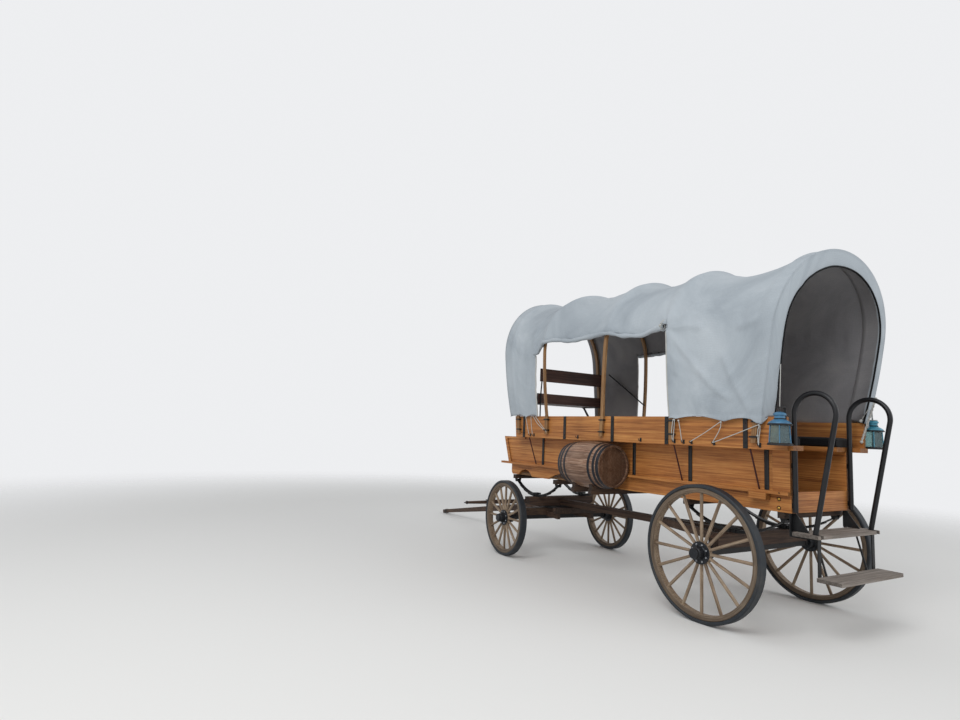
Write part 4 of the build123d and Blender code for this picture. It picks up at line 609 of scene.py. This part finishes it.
# a point of the sheet over one bow, which leans and stands askew: a straight flank below and an ellipse above
def archPoint(arch, row, insetSide=0.0, insetTop=0.0, setBack=0.0):
    footX, crownX, crownZ, skew = arch
    skewAngle = math.atan2(skew, 2 * (canvas["foot"] - canvas["footInside"]))
    across = Vector((math.sin(skewAngle), math.cos(skewAngle), 0))
    ahead = Vector((math.cos(skewAngle), -math.sin(skewAngle), 0))
    lean = (crownX - footX + skew / 2) * math.cos(skewAngle)
    rise = crownZ - boardTop
    slope = (ahead * lean + Vector((0, 0, rise))).normalized()
    normal = (ahead * rise - Vector((0, 0, lean))).normalized()
    height = math.hypot(lean, rise)
    shoulder = height / 2
    foot = (canvas["foot"] - insetSide) / math.cos(skewAngle)
    belly = (canvas["foot"] + canvas["belly"] - insetSide) / math.cos(skewAngle)
    shift = canvas["leanShift"] * lean * math.tan(skewAngle)
    crown = height - insetTop - shoulder
    sill = (canvas["windowTop"] - boardTop) / slope.z
    turn = math.asin((sill - shoulder) / crown)
    kind, share, side = row
    if kind == "top":
        angle = math.pi - turn + (2 * turn - math.pi) * share
        out, up = shift + belly * math.cos(angle), shoulder + crown * math.sin(angle)
    else:
        up = sill * share if kind == "side" else 0.0
        if up > shoulder:
            out = shift + side * belly * math.cos(math.asin((up - shoulder) / crown))
        else:
            pull = (1 - up / shoulder) ** 2
            out = (shift + side * belly) * (1 - pull) + side * foot * pull
    middle = Vector((rearAxle.x + footX - skew / 2, 0, boardTop))
    return middle + across * out + slope * up - normal * setBack


# one column of the sheet: the hanging hem, the side up to the window's top, over the crown and down again
def canvasRows():
    hem, side, roof = canvas["hemRows"], canvas["sideRows"], canvas["roofRows"]
    rows = [("hem", d / hem, -1) for d in range(hem, 0, -1)] + [("side", k / side, -1) for k in range(side + 1)]
    rows += [("top", k / roof, 0) for k in range(1, roof)]
    rows += [("side", k / side, 1) for k in range(side, -1, -1)] + [("hem", d / hem, 1) for d in range(1, hem + 1)]
    return rows


# 1 in the middle of a fold on the left rear panel, and 0 away from it
def foldShare(x, z):
    depth = 0.0
    for fold in canvas["folds"]:
        for (x0, z0), (x1, z1) in zip(fold[:-1], fold[1:]):
            run = Vector((x1 - x0, z1 - z0))
            s = max(0, min(1, ((x - x0) * run.x + (z - z0) * run.y) / run.length_squared))
            away = math.hypot(x - x0 - run.x * s, z - z0 - run.y * s)
            depth = max(depth, math.exp(-(away / canvas["foldHalf"]) ** 2))
    return depth


# the columns from the turned-in rear hem forward, each with how near a bow it lies; and where each span starts
def canvasColumns(rows):
    arches, half = canvas["arches"], canvas["bowHalf"]
    columns = []
    for share, setBack in canvas["hemCurl"]:
        inset = [canvas["hemTurn"][0] * share, canvas["hemTurn"][1] * share]
        columns.append(([archPoint(arches[0], row, *inset, setBack) for row in rows], canvas["hemNear"]))
    stops = [(arches[0], 0)]
    for bow in arches[1:-1]:
        stops += [(bow, half), (bow, -half)]
    stops.append((arches[-1], 0))
    spanStarts = []
    for span, (rearStop, foreStop) in enumerate(zip(stops[:-1], stops[1:])):
        slack = span % 2 == 0 and 0 < span < len(stops) - 2
        steps = canvas["slackSteps" if slack else "bowSteps" if span % 2 else "endSteps"]
        back = [archPoint(rearStop[0], row, 0, 0, rearStop[1]) for row in rows]
        fore = [archPoint(foreStop[0], row, 0, 0, foreStop[1]) for row in rows]
        spanStarts.append(len(columns))
        sag = canvas["sag"][span // 2 - 1] if slack else 0.0
        for k in range(steps + (1 if span == len(stops) - 2 else 0)):
            s = k / steps
            loose = 4 * s * (1 - s) if slack else 0.0
            gap = min(s, 1 - s) * (fore[crownRow] - back[crownRow]).length if slack else 0.0
            column = []
            for (kind, share, side), a, b in zip(rows, back, fore):
                place = a.lerp(b, s)
                crown = math.sin(math.pi * share) if kind == "top" else 0.0
                place.z -= sag * loose * crown ** canvas["sagPower"]
                if kind != "hem":
                    place.y *= 1 - canvas["drawIn"] * loose * (1 - crown if kind == "top" else share)
                column.append(place)
            columns.append((column, math.exp(-(gap / canvas["bowReach"]) ** 2)))
    return columns, spanStarts


# the flap below a window's top is rolled up and hangs along its edge as a lumpy roll
def rollFlap(work, cut, edges, side):
    steps = canvas["rollSteps"]
    long, short = canvas["lumps"]
    previous = None
    for edge in edges:
        lumps = long * noise.noise(Vector((edge.co.x * 3, side, 4)))
        fat = 1 + lumps + short * noise.noise(Vector((edge.co.x * 12, side, 2)))
        centre = edge.co + Vector((0, side * canvas["roll"] * fat, -0.004 * math.sin(edge.co.x * 6)))
        ring = [edge]
        for k in range(1, steps + 1):
            turn = math.pi + math.tau * canvas["rollTurns"] * k / steps
            radius = canvas["roll"] * fat * (1 - canvas["rollTighten"] * k / steps)
            vert = work.verts.new(centre + Vector((0, side * math.cos(turn) * radius, math.sin(turn) * radius)))
            cut[vert] = (cut[edge][0], cut[edge][1] + k * 0.008, 0.3)
            ring.append(vert)
        if previous:
            for k in range(steps):
                loop = (previous[k], ring[k], ring[k + 1], previous[k + 1])
                work.faces.new(loop if side < 0 else tuple(reversed(loop)))
        previous = ring


def unevenness(kind, u, v):
    often, across, seed, height = canvas[kind]
    return noise.noise(Vector((u * often, v * across, seed))) * height


# slack folds and weather wrinkles, held flat where a bow lies under the sheet
def wrinkleSheet(work, cut):
    work.normal_update()
    shifts = {}
    for vert in work.verts:
        u, v, near = cut[vert]
        x, y, z = vert.co.x - rearAxle.x, vert.co.y, vert.co.z
        soft, fine, crumple = (unevenness(kind, u, v) for kind in ("soft", "fine", "crumple"))
        ridge = (1 - abs(noise.noise(Vector((u * 1.6 + v * 1.1, v * 4.5, 21.0))))) ** 9 * canvas["ridge"]
        atSill = math.exp(-((z - canvas["windowTop"]) / 0.12) ** 2) * (1 if abs(y) > 0.5 else 0)
        gather = math.sin(u * 34 + 3 * noise.noise(Vector((u * 3, v, 8)))) * canvas["gather"] * atSill
        fold = foldShare(x, z) * canvas["foldDepth"] if y > 0.3 and -0.5 < x < 0.5 else 0.0
        hem = math.exp(-max(0, z - boardTop) / 0.12) * noise.noise(Vector((u * 9, 1, 2))) * canvas["hemWave"]
        awayX, awayZ = x - canvas["tie"][0], z - canvas["tie"][1]
        spokes = 0.5 + 0.5 * math.cos(canvas["tieFolds"] * math.atan2(awayZ, awayX) + 0.6)
        away = math.hypot(awayX, awayZ)
        gathered = math.exp(-(away / canvas["tieReach"]) ** 2) * min(1, away / 0.03) if y > 0.3 else 0.0
        loose = soft + fine + ridge - canvas["sink"] + crumple + gather + fold + hem
        pinch = spokes * canvas["tieDepth"] * gathered
        held = loose * (1 - canvas["bowHold"] * near) + canvas["bowRidge"] * near ** 3
        shifts[vert] = canvas["wrinkle"] * (held + pinch)
    for vert, shift in shifts.items():
        vert.co += vert.normal * shift


# the ropes in the windows' upright edges, and the ring and knot that tie up the left flap's roll
def windowCords(verts, windows, sillRows):
    corner = verts[windows[1][0]][sillRows[1]].co + Vector((0.014, 0.027, 0))
    tail = [corner, corner + Vector((-0.008, 0.034, 0.03)), corner + Vector((-0.03, 0.01, 0.06))]
    cords = [ringShape(corner, 0.03, 0.005, "X"), tubeShape(tail, 0.005, 6)]
    cords += knotShapes(corner + Vector((0, 0.034, 0.006)), *canvas["tieKnot"])
    lowest = canvas["hemRows"] - 1
    for side, ends in windows.items():
        for i in ends:
            sill = sillRows[side]
            line = verts[i][sill - 1:lowest - 1:-1] if side < 0 else verts[i][sill + 1:-lowest]
            cords.append(tubeShape([v.co for v in line], canvas["edgeCord"], 6))
    return cords


# the cover with its cords and the black cord that paints the shadow line in its rear hem; it gives back the point
# of the rear hem's lip where the lantern's cord hangs
def makeCanvas():
    rows = canvasRows()
    hem = canvas["hemRows"]
    sillRows = {-1: hem + canvas["sideRows"], 1: hem + canvas["sideRows"] + canvas["roofRows"]}
    columns, spanStarts = canvasColumns(rows)
    windows = {side: [spanStarts[span] + step for span, step in ends] for side, ends in canvas["windows"].items()}
    work = bmesh.new()
    uvLayer = work.loops.layers.uv.new("cut")
    cut, verts, run = {}, [], 0.0
    for i, (column, near) in enumerate(columns):
        if i:
            run += (column[crownRow] - columns[i - 1][0][crownRow]).length
        climb, line = 0.0, []
        for j, place in enumerate(column):
            kind, share, side = rows[j]
            if j:
                climb += (place - column[j - 1]).length
            if kind == "hem":
                x = place.x - rearAxle.x + (askew if side < 0 else 0)
                raised = max(0.0, (canvas["foot"] - abs(column[hem if side < 0 else -hem - 1].y)) * 1.5)
                place = place + Vector((0, side * 0.004, -share * (hemDrop(x) + 0.004 - raised)))
            elif side > -1 and windows[1][0] - 3 <= i <= windows[1][1] + 3:
                lift = share ** 2 if kind == "side" else max(0.0, 1 - (1 - share) / 0.3)
                place = place + Vector((0, 0, along(canvas["rollLine"], place.x - rearAxle.x) * lift))
            vert = work.verts.new(place)
            cut[vert] = (run, climb, near)
            line.append(vert)
        verts.append(line)
    for i in range(len(verts) - 1):
        for j in range(len(rows) - 1):
            inRight = j + 1 <= sillRows[-1] and windows[-1][0] <= i < windows[-1][1]
            inLeft = j >= sillRows[1] and windows[1][0] <= i < windows[1][1]
            if not inRight and not inLeft:
                face = work.faces.new((verts[i][j], verts[i + 1][j], verts[i + 1][j + 1], verts[i][j + 1]))
                face.material_index = 1 if i < canvas["sleeve"] else 0  # 1 is the inner face's material, darker with painted shade
    for side, (first, last) in windows.items():
        rollFlap(work, cut, [verts[i][sillRows[side]] for i in range(first, last + 1)], side)
    for vert in [v for v in work.verts if not v.link_faces]:
        work.verts.remove(vert)
        cut.pop(vert)
    wrinkleSheet(work, cut)
    for face in work.faces:
        for loop in face.loops:
            loop[uvLayer].uv = cut[loop.vert][:2]
    lip = verts[canvas["lipColumn"]]
    cordPoint = min((v.co.copy() for v in lip if v.co.y > 0), key=lambda p: abs(p.z - canvas["cordHeight"]))
    # a black cord along the hem's inner lip: a painted shadow line
    shadowLine = tubeShape([v.co for v in lip[hem:-hem]], canvas["piping"], 6)
    piping = newPiece("rearHemShadowCord", [shadowLine], "blackTwill", "wagon", 60)
    cords = windowCords(verts, windows, sillRows)
    mesh = bpy.data.meshes.new("canvasCover")
    work.to_mesh(mesh)
    work.free()
    mesh.polygons.foreach_set("use_smooth", [True] * len(mesh.polygons))
    edging = newPiece("windowCords", cords, "cottonRope", "wagon", 60)
    cover = bpy.data.objects.new("canvasCover", mesh)
    bpy.context.scene.collection.objects.link(cover)
    mesh.materials.append(made["cottonDuck"])
    mesh.materials.append(made["cottonDuckPaintedShade"])
    skin = cover.modifiers.new("thickness", "SOLIDIFY")
    skin.thickness = canvas["thick"]
    skin.offset = -1
    # the sheet's inner face takes the second material, the cloth with painted shade
    skin.material_offset = 1
    skin.material_offset_rim = 0
    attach(cover, "wagon")
    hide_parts("canopy")
    return cordPoint


hemLip = makeCanvas()
print("canvas made")


# Lanterns: a six-sided body of tin and glass between two dark rims, a sloping top, a neck and a cap. The sides
# that are glass are numbered from the front round by the left, and the others are tin.
lanterns = {
    "left": {"node": "lantern_left", "finish": "lanternBlue", "glass": (1, 2, 3, 5)},
    "right": {"node": "lantern_right", "finish": "lanternTeal", "glass": (0, 1, 2, 3, 5)},
}
# heights and radii of the plain lantern, which is then enlarged by "grow"
lanternSize = {"tall": 0.228, "grow": 1.14, "base": 0.08, "foot": 0.076, "shoulder": 0.068, "floor": 0.016,
               "top": 0.138, "post": 0.0035, "pane": 0.0015}


# the middle of a node's top, where what it hangs by starts
def topOf(node):
    low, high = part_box(node)
    return Vector(((low.x + high.x) / 2, (low.y + high.y) / 2, high.z))


# a corner post's line, from its foot to the shoulder
def lanternEdge(side, inset=0.0):
    size, turn = lanternSize, math.tau * side / 6
    return [((r - inset) * math.cos(turn), (r - inset) * math.sin(turn), z)
            for r, z in ((size["foot"], size["floor"]), (size["shoulder"], size["top"]))]


def lanternPanel(side, inset):
    points = []
    for depth in (inset, inset + lanternSize["pane"]):
        (foot, shoulder), (nextFoot, nextShoulder) = lanternEdge(side, depth), lanternEdge(side + 1, depth)
        points += [foot, nextFoot, nextShoulder, shoulder]
    return points, plateFaces


def makeLantern(name, spec):
    size = lanternSize
    top = topOf(spec["node"])
    foot = Matrix.Translation((top.x, top.y, top.z - size["tall"] * size["grow"]))
    place = foot @ Matrix.Scale(size["grow"], 4)
    base = [(0, 0), (size["base"], 0), (size["base"], 0.012), (size["foot"] - 0.002, 0.018), (0, 0.018)]
    rims = [latheShape(base),
            latheShape([(0.055, 0.134), (0.079, 0.136), (0.08, 0.144), (0.072, 0.148), (0.055, 0.148)]),
            latheShape([(0.034, 0.176), (0.039, 0.178), (0.039, 0.182), (0.034, 0.184)])]
    tin = [latheShape([(0, 0.1465), (0.073, 0.147), (0.072, 0.153), (0.058, 0.164), (0.043, 0.172), (0.035, 0.178),
                       (0.034, 0.2), (0.041, 0.203), (0.042, 0.211), (0.037, 0.218), (0.022, 0.225), (0, 0.228)])]
    for side in range(6):
        tin.append(tubeShape(lanternEdge(side), size["post"], 6))
        if side not in spec["glass"]:
            tin.append(lanternPanel(side, 0.001))
    panes = [lanternPanel(side, 0.002) for side in spec["glass"]]
    body = newPiece("lanternTin_" + name, [moved(s, place) for s in tin], spec["finish"], "wagon", 30)
    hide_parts(spec["node"])
    newPiece("lanternRims_" + name, [moved(s, place) for s in rims], "blackIron", "wagon", 30)
    newPiece("lanternGlass_" + name, [moved(s, place) for s in panes], "lanternPane", "wagon", 30)


for name, spec in lanterns.items():
    makeLantern(name, spec)
print("lanterns made")


# Bench cushions: long black pads sewn in sections, crowned on top, with piping round the top edge
cushion = {
    "sections": 5,
    "perSection": 26,  # rings of points in a section, and points in a ring
    "round": 40,
    "square": 5.0,  # 2 is an oval section, and more is squarer
    "crown": 0.16,  # how much the top falls towards its edges
    "waist": 0.025,  # how much the sides draw in below and above their middle
    "seam": 0.022,
    "seamDip": 0.35,  # how much a seam presses the top down, and draws the sides in
    "seamDraw": 0.05,
    "puff": 0.0025,
    "endRound": 0.03,
    "endWide": (0.86, 0.14),  # the pad's share of width and of height at its very end, and what it grows by
    "endTall": (0.8, 0.2),
    "inset": 0.004,  # the pad is this much smaller than its solid at each end, at each side, above and below
    "sideInset": 0.003,
    "topInset": 0.002,
    "lift": 0.001,
    "piping": 0.004,
}


# one section across a cushion; seam is 1 on a seam and 0 away from it
def cushionRing(low, high, x, seam):
    centreY, halfY = (low.y + high.y) / 2, (high.y - low.y) / 2 - cushion["sideInset"]
    halfZ = (high.z - low.z) / 2 - cushion["topInset"]
    ring = []
    for k in range(cushion["round"]):
        turn = math.tau * k / cushion["round"]
        c, s = math.cos(turn), math.sin(turn)
        y = math.copysign(abs(c) ** (2 / cushion["square"]), c)
        z = math.copysign(abs(s) ** (2 / cushion["square"]), s)
        crown = 1 - cushion["crown"] * y * y if z > 0 else 1.0
        waist = 1 - cushion["waist"] * (1 - abs(z)) ** 2
        puff = noise.noise(Vector((x * 5, y * 2, z * 2))) * cushion["puff"]
        up = halfZ * z * (crown * (1 - seam * cushion["seamDip"]) if z > 0 else 1) + (puff if z > 0 else 0)
        out = halfY * y * waist * (1 - cushion["seamDraw"] * seam)
        ring.append(Vector((x, centreY + out, low.z + cushion["lift"] + halfZ + up)))
    return ring


def makeCushion(node):
    low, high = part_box(node)
    length = (high.x - low.x) / cushion["sections"]
    rings = []
    count = cushion["sections"] * cushion["perSection"]
    (wide, widen), (tall, heighten) = cushion["endWide"], cushion["endTall"]
    for i in range(count + 1):
        x = low.x + cushion["inset"] + (high.x - low.x - 2 * cushion["inset"]) * i / count
        away = min((x - low.x) % length, length - (x - low.x) % length)
        ring = cushionRing(low, high, x, math.exp(-(away / cushion["seam"]) ** 2))
        end = min(1.0, min(x - low.x, high.x - x) / cushion["endRound"])
        full = math.sqrt(1 - (1 - end) ** 2)
        middle = sum(ring, Vector()) / len(ring)
        for p in ring:  # the last few centimetres round off, in width and in height
            p.y = middle.y + (p.y - middle.y) * (wide + widen * full)
            p.z = low.z + cushion["lift"] + (p.z - low.z - cushion["lift"]) * (tall + heighten * full)
        rings.append(ring)
    steps = cushion["round"]
    points = [p for ring in rings for p in ring]
    faces = loftFaces(count + 1, steps)
    faces += [tuple(range(steps)), tuple(reversed(range(count * steps, (count + 1) * steps)))]
    pad = newPiece(node + "_pad", [(points, faces)], "blackTwill", "wagon", 60)
    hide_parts(node)
    corner = steps // 8
    lines = [[ring[corner] for ring in rings], [ring[steps // 2 - corner] for ring in rings]]
    newPiece(node + "_piping", [tubeShape(line, cushion["piping"], 6) for line in lines], "blackTwill", "wagon", 60)


for node in ("cushion_left", "cushion_right"):
    makeCushion(node)
print("cushions made")


# Iron hooks along the boards' lower edges and the white ropes that tie the hem down to them
rigging = {
    "rope": 0.0036,  # radii of the hem's ropes and of the left lantern's cord
    "cord": 0.003,
    "hemKnot": (0.0055, 0.004),  # radius of a knot's rings, and of the rope in them
    "cornerKnot": (0.009, 0.006),
    "hooks": (2.70, 2.63, 1.82, 0.886, 0.465, 0.362, 0.273, 0.035, -0.40),  # along the board, at this height
    "hookHeight": 1.465,
    "hookPlate": (0.011, 0.018, 0.02),  # half its width, and how far it reaches down and up
    "hookIron": 0.0035,
    "hookCurl": ((0.003, 0.004), (0.016, -0.004), (0.027, -0.006), (0.034, 0.002), (0.033, 0.014)),  # out and up
    # along, up and out from the board's face of each rope's points, from the hem down
    "ties": (
        ((-0.064, 1.652, 0.044), (0.1, 1.556, 0.034), (0.272, 1.468, 0.026)),
        ((-0.066, 1.65, 0.044), (-0.06, 1.61, 0.038), (-0.032, 1.56, 0.032), (0.034, 1.468, 0.026)),
        ((-0.42, 1.63, 0.044), (-0.2, 1.55, 0.034), (0.034, 1.468, 0.026)),
        ((-0.425, 1.628, 0.044), (-0.41, 1.59, 0.04), (-0.403, 1.545, 0.034), (-0.4, 1.466, 0.026)),
        ((-0.43, 1.626, 0.044), (-0.425, 1.58, 0.036), (-0.412, 1.535, 0.03), (-0.404, 1.466, 0.026)),
        ((0.43, 1.668, 0.044), (0.445, 1.57, 0.036), (0.462, 1.466, 0.026)),
        ((0.45, 1.668, 0.044), (0.47, 1.56, 0.038), (0.47, 1.466, 0.026)),
        ((0.385, 1.66, 0.044), (0.372, 1.57, 0.036), (0.362, 1.466, 0.026)),
    ),
    "frontTies": (
        ((2.56, 1.692, 0.044), (2.46, 1.6, 0.036), (2.35, 1.505, 0.03)),
        ((2.6, 1.69, 0.044), (2.53, 1.61, 0.036), (2.405, 1.53, 0.03)),
        ((2.76, 1.688, 0.044), (2.73, 1.58, 0.036), (2.702, 1.468, 0.026)),
        ((2.65, 1.69, 0.044), (2.645, 1.58, 0.036), (2.632, 1.468, 0.026)),
    ),
    # the thick rope at the right rear corner: its top at the hem, its foot at the board's end, the knot beside it
    "cornerRope": ((-0.75, -0.538, 1.904), (-0.615, -0.555, 1.53), (-0.63, -0.526, 1.713)),
    "strand": 0.0052,  # radius of each of its two strands, the steps along them and the turn in a step
    "strandSteps": 48,
    "strandTurn": 0.8,
    "branchFrom": 0.28,  # the branch to the right lantern leaves it after this share
    # the branch is wound round the lantern's neck: turns, their radius, the first one's depth and their spacing
    "neckTurns": 3,
    "neckRadius": 0.037,
    "neckDown": 0.022,
    "neckStep": 0.009,
    "knots": ((-0.403, 1.541, 0.036), (-0.066, 1.646, 0.046), (-0.422, 1.626, 0.046), (0.44, 1.664, 0.046),
              (0.385, 1.656, 0.046)),
}


def onBoard(side, place):
    x, z, out = place
    return Vector((rearAxle.x + x - (askew if side < 0 else 0), side * (boardFace + out), z))


def makeRigging(side, name):
    ties = rigging["ties"] + (rigging["frontTies"] if side > 0 else ())
    ropes = [tubeShape([onBoard(side, p) for p in tie], rigging["rope"], 8) for tie in ties]
    for knot in rigging["knots"]:
        ropes += knotShapes(onBoard(side, knot), *rigging["hemKnot"])
    newPiece("hemRopes_" + name, ropes, "cottonRope", "wagon", 60)
    hooks = []
    half, down, up = rigging["hookPlate"]
    for x in rigging["hooks"]:
        foot = onBoard(side, (x, rigging["hookHeight"], 0))
        back, front = (-0.0005, 0.004) if side > 0 else (-0.004, 0.0005)
        hooks.append(blockShape(foot + Vector((-half, back, -down)), foot + Vector((half, front, up))))
        curl = [foot + Vector((0, side * out, rise)) for out, rise in rigging["hookCurl"]]
        hooks.append(tubeShape(curl, rigging["hookIron"], 8))
    newPiece("hemHooks_" + name, hooks, "blackIron", "wagon", 40)


for side, name in ((1, "left"), (-1, "right")):
    makeRigging(side, name)


# two strands laid round each other
def twistedRope(start, stop, thick):
    steps, strands = rigging["strandSteps"], []
    for phase in (0, math.pi):
        path = []
        for k in range(steps + 1):
            turn = phase + k * rigging["strandTurn"]
            path.append(start.lerp(stop, k / steps) + Vector((math.cos(turn), math.sin(turn), 0)) * thick)
        strands.append(tubeShape(path, thick, 6))
    return strands


# the left lantern's cord comes down from the rear hem's lip, and the right one's branches off the corner's rope
def makeLanternCords():
    top = topOf("lantern_left")
    cord = tubeShape([hemLip, hemLip.lerp(top, 0.5), top], rigging["cord"], 6)
    newPiece("lanternCord_left", [cord], "cottonRope", "wagon", 60)
    top = topOf("lantern_right")
    hem, end, knot = (Vector((rearAxle.x + x, y, z)) for x, y, z in rigging["cornerRope"])
    strands = twistedRope(hem, end, rigging["strand"])
    strands += twistedRope(hem.lerp(end, rigging["branchFrom"]), top, rigging["rope"])
    for place in (end, knot, hem):
        strands += knotShapes(place, *rigging["cornerKnot"])
    side = [knot, knot.lerp(hem, 0.5) + Vector((0, 0, 0.004)), hem.lerp(end, 0.3)]
    strands.append(tubeShape(side, rigging["rope"], 6))
    for k in range(rigging["neckTurns"]):
        wound = top + Vector((0, 0, -rigging["neckDown"] + rigging["neckStep"] * k))
        strands.append(ringShape(wound, rigging["neckRadius"], rigging["rope"], "Z", 24))
    newPiece("lanternCord_right", strands, "cottonRope", "wagon", 60)


makeLanternCords()
print("rigging made")


# Bolts, nuts and small irons
fittings = {
    "hubBolts": 8,
    "hubCircle": 0.071,
    "hubFace": 0.0262,  # from a wheel's middle plane out to its flange
    "hubNut": (0.0085, 0.007),  # radius and height
    # the straps' places along the upper boards and along the box's sides, and the heights of their bolts
    "upperStraps": (2.84, 2.05, 1.28, 0.56, -0.27),
    "upperBolts": (1.485, 1.645),
    "sideStraps": (2.64, 1.12, 0.416, -0.354),
    "sideBolts": (1.14, 1.4),
    "sideFace": 0.443,  # out from the wagon's middle to the side straps
    "strapThick": 0.006,
    "upperDome": 0.009,  # radii of the bolts' heads
    "sideDome": 0.008,
    # on each side, along, up and out from the middle: two brass bolts above the rear wheel and a nail over them
    "brassBolts": ((-0.456, 1.041, 0.43), (-0.454, 0.969, 0.43)),
    "nail": (-0.487, 1.092, 0.478),
    "brassDome": 0.0125,
    "washer": (0.017, 0.0025),  # radius and thickness
    "nailHead": 0.006,
}


def domeShape(place, outward, radius):
    section = ((1, 0), (0.96, 0.25), (0.7, 0.52), (0.3, 0.66), (0, 0.7))
    return faced(latheShape([(radius * out, radius * up) for out, up in section], 12), place, outward)


# a six-sided nut with the end of its bolt
def nutShape(place, outward, radius, height):
    section = ((1, 0), (1, 1), (0.55, 1), (0.5, 1.5), (0, 1.6))
    return faced(latheShape([(radius * out, height * up) for out, up in section], 6), place, outward)


def makeHubBolts(corner):
    low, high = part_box("tyre_" + corner)
    centre = (low + high) / 2
    side = 1 if corner.endswith("left") else -1
    turn = steering if corner.startswith("front") else 0.0
    outward = Vector((-math.sin(turn) * side, math.cos(turn) * side, 0))
    across = Vector((math.cos(turn), math.sin(turn), 0))
    nuts = []
    for k in range(fittings["hubBolts"]):
        angle = math.tau * (k + 0.5) / fittings["hubBolts"]
        toNut = across * math.cos(angle) + Vector((0, 0, math.sin(angle)))
        place = centre + outward * fittings["hubFace"] + toNut * fittings["hubCircle"]
        nuts.append(nutShape(place, outward, *fittings["hubNut"]))
    newPiece("hubNuts_" + corner, nuts, "brightSteel", "wheel_" + corner, 30)


def makeFittings():
    domes, brass = [], []
    radius, thick = fittings["washer"]
    upperFace = boardFace + fittings["strapThick"]
    for side in (1, -1):
        out = (0, side, 0)
        for x in fittings["upperStraps"]:
            for z in fittings["upperBolts"]:
                domes.append(domeShape((rearAxle.x + x, side * upperFace, z), out, fittings["upperDome"]))
        for x in fittings["sideStraps"]:
            for z in fittings["sideBolts"]:
                place = (rearAxle.x + x, side * fittings["sideFace"], z)
                domes.append(domeShape(place, out, fittings["sideDome"]))
        for x, z, y in fittings["brassBolts"]:
            washer = latheShape([(radius, 0), (radius, thick), (0, 0.003)], 16)
            domes.append(faced(washer, (rearAxle.x + x, side * y, z), out))
            brass.append(domeShape((rearAxle.x + x, side * (y + 0.002), z), out, fittings["brassDome"]))
        x, z, y = fittings["nail"]
        domes.append(domeShape((rearAxle.x + x, side * y, z), out, fittings["nailHead"]))
    newPiece("strapBolts", domes, "blackIron", "wagon", 40)
    newPiece("sideBolts", brass, "agedBrass", "wagon", 40)


braces = {
    # the step irons' gusset plates: their two faces out from the middle, how far they lie inside and behind the
    # box's end board above, how far back they reach below, and their foot above the hand rails' ends
    "gussetFaces": (0.371, 0.379),
    "gussetInside": 0.028,
    "gussetBehind": 0.004,
    "gussetReach": 0.11,
    "gussetFoot": 0.027,
    # the strap from the seat back to the right bow: along, out and up
    "seatStay": ((2.53, -0.545, 2.3), (2.24, -0.57, 2.095), (1.955, -0.6, 1.885)),
    "stayRadius": 0.009,
}


def makeBraces():
    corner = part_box("end_boards")[0]
    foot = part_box("handrails")[0].z + braces["gussetFoot"]
    inside = corner.x + braces["gussetInside"]
    behind, below = corner.x - braces["gussetBehind"], corner.x - braces["gussetReach"]
    outline = [(inside, corner.z), (behind, corner.z), (below, foot), (inside, foot)]
    plates = [([(x, side * y, z) for y in braces["gussetFaces"] for x, z in outline], plateFaces)
              for side in (1, -1)]
    newPiece("stepGussets", plates, "blackIron", "wagon", 30)
    strap = [(rearAxle.x + x, y, z) for x, y, z in braces["seatStay"]]
    newPiece("seatStay", [tubeShape(strap, braces["stayRadius"], 8)], "blackIron", "wagon", 40)


for corner in wheelCorners:
    makeHubBolts(corner)
makeFittings()
makeBraces()
print("fittings made")


# Stage: a pale floor that fades into a pale backdrop, and two soft lamps
stage = {
    "floor": "e9e9e7",
    "size": 60,
    "fade": (5.5, 14),  # the floor fades into the backdrop between these distances
    "backdrop": "f3f4f6",
    "world": 0.6,  # strength of the world's light on the wagon, and of the backdrop as it is seen
    "backdropStrength": 0.95,
}
mesh = bpy.data.meshes.new("studioFloor")
half = stage["size"] / 2
mesh.from_pydata([(-half, -half, 0), (half, -half, 0), (half, half, 0), (-half, half, 0)], [], [(0, 1, 2, 3)])
floor = bpy.data.objects.new("studioFloor", mesh)
bpy.context.scene.collection.objects.link(floor)
floorMaterial, tree = newMaterial("studioPaper")
paper = addNode(tree, "BsdfPrincipled", {"Base Color": hexLinear(stage["floor"]), "Roughness": 0.9})
distance = addNode(tree, "VectorMath", {"operation": "LENGTH"}, {0: addNode(tree, "TexCoord").outputs["Object"]})
near, far = stage["fade"]
fade = addNode(tree, "MapRange", {"interpolation_type": "SMOOTHSTEP", 1: near, 2: far},
               {0: distance.outputs["Value"]})
clear = addNode(tree, "BsdfTransparent")
blended = addNode(tree, "MixShader", None, {0: fade, 1: paper, 2: clear})
addNode(tree, "OutputMaterial", None, {0: blended})
floor.data.materials.append(floorMaterial)

world = bpy.data.worlds.new("studio")
bpy.context.scene.world = world
world.use_nodes = True
tree = world.node_tree
tree.nodes.clear()
rays = addNode(tree, "LightPath")
seen = addNode(tree, "Math", {"operation": "MAXIMUM"},
               {0: rays.outputs["Is Camera Ray"], 1: rays.outputs["Is Transmission Ray"]})
mirrored = addNode(tree, "Math", {"operation": "MAXIMUM"}, {0: seen, 1: rays.outputs["Is Glossy Ray"]})
bright = addNode(tree, "Mix", {"data_type": "FLOAT", 2: stage["world"], 3: stage["backdropStrength"]},
                 {"Factor": mirrored})
back = addNode(tree, "Background", {"Color": hexLinear(stage["backdrop"])}, {"Strength": bright})
addNode(tree, "OutputWorld", None, {0: back})

lamps = {
    "key": {"place": (-6, 9, 9), "aim": (-1, 0, 1), "power": 620, "size": 6},
    "fill": {"place": (-10, -5, 6), "aim": (-1, 0, 1), "power": 220, "size": 7},
}
for name, spec in lamps.items():
    light = bpy.data.lights.new(name, "AREA")
    light.energy = spec["power"]
    light.size = spec["size"]
    lamp = bpy.data.objects.new(name, light)
    lamp.location = spec["place"]
    lamp.rotation_euler = (Vector(spec["aim"]) - Vector(spec["place"])).to_track_quat("-Z", "Y").to_euler()
    bpy.context.scene.collection.objects.link(lamp)

bpy.context.scene.view_settings.view_transform = "Standard"
print("stage set")
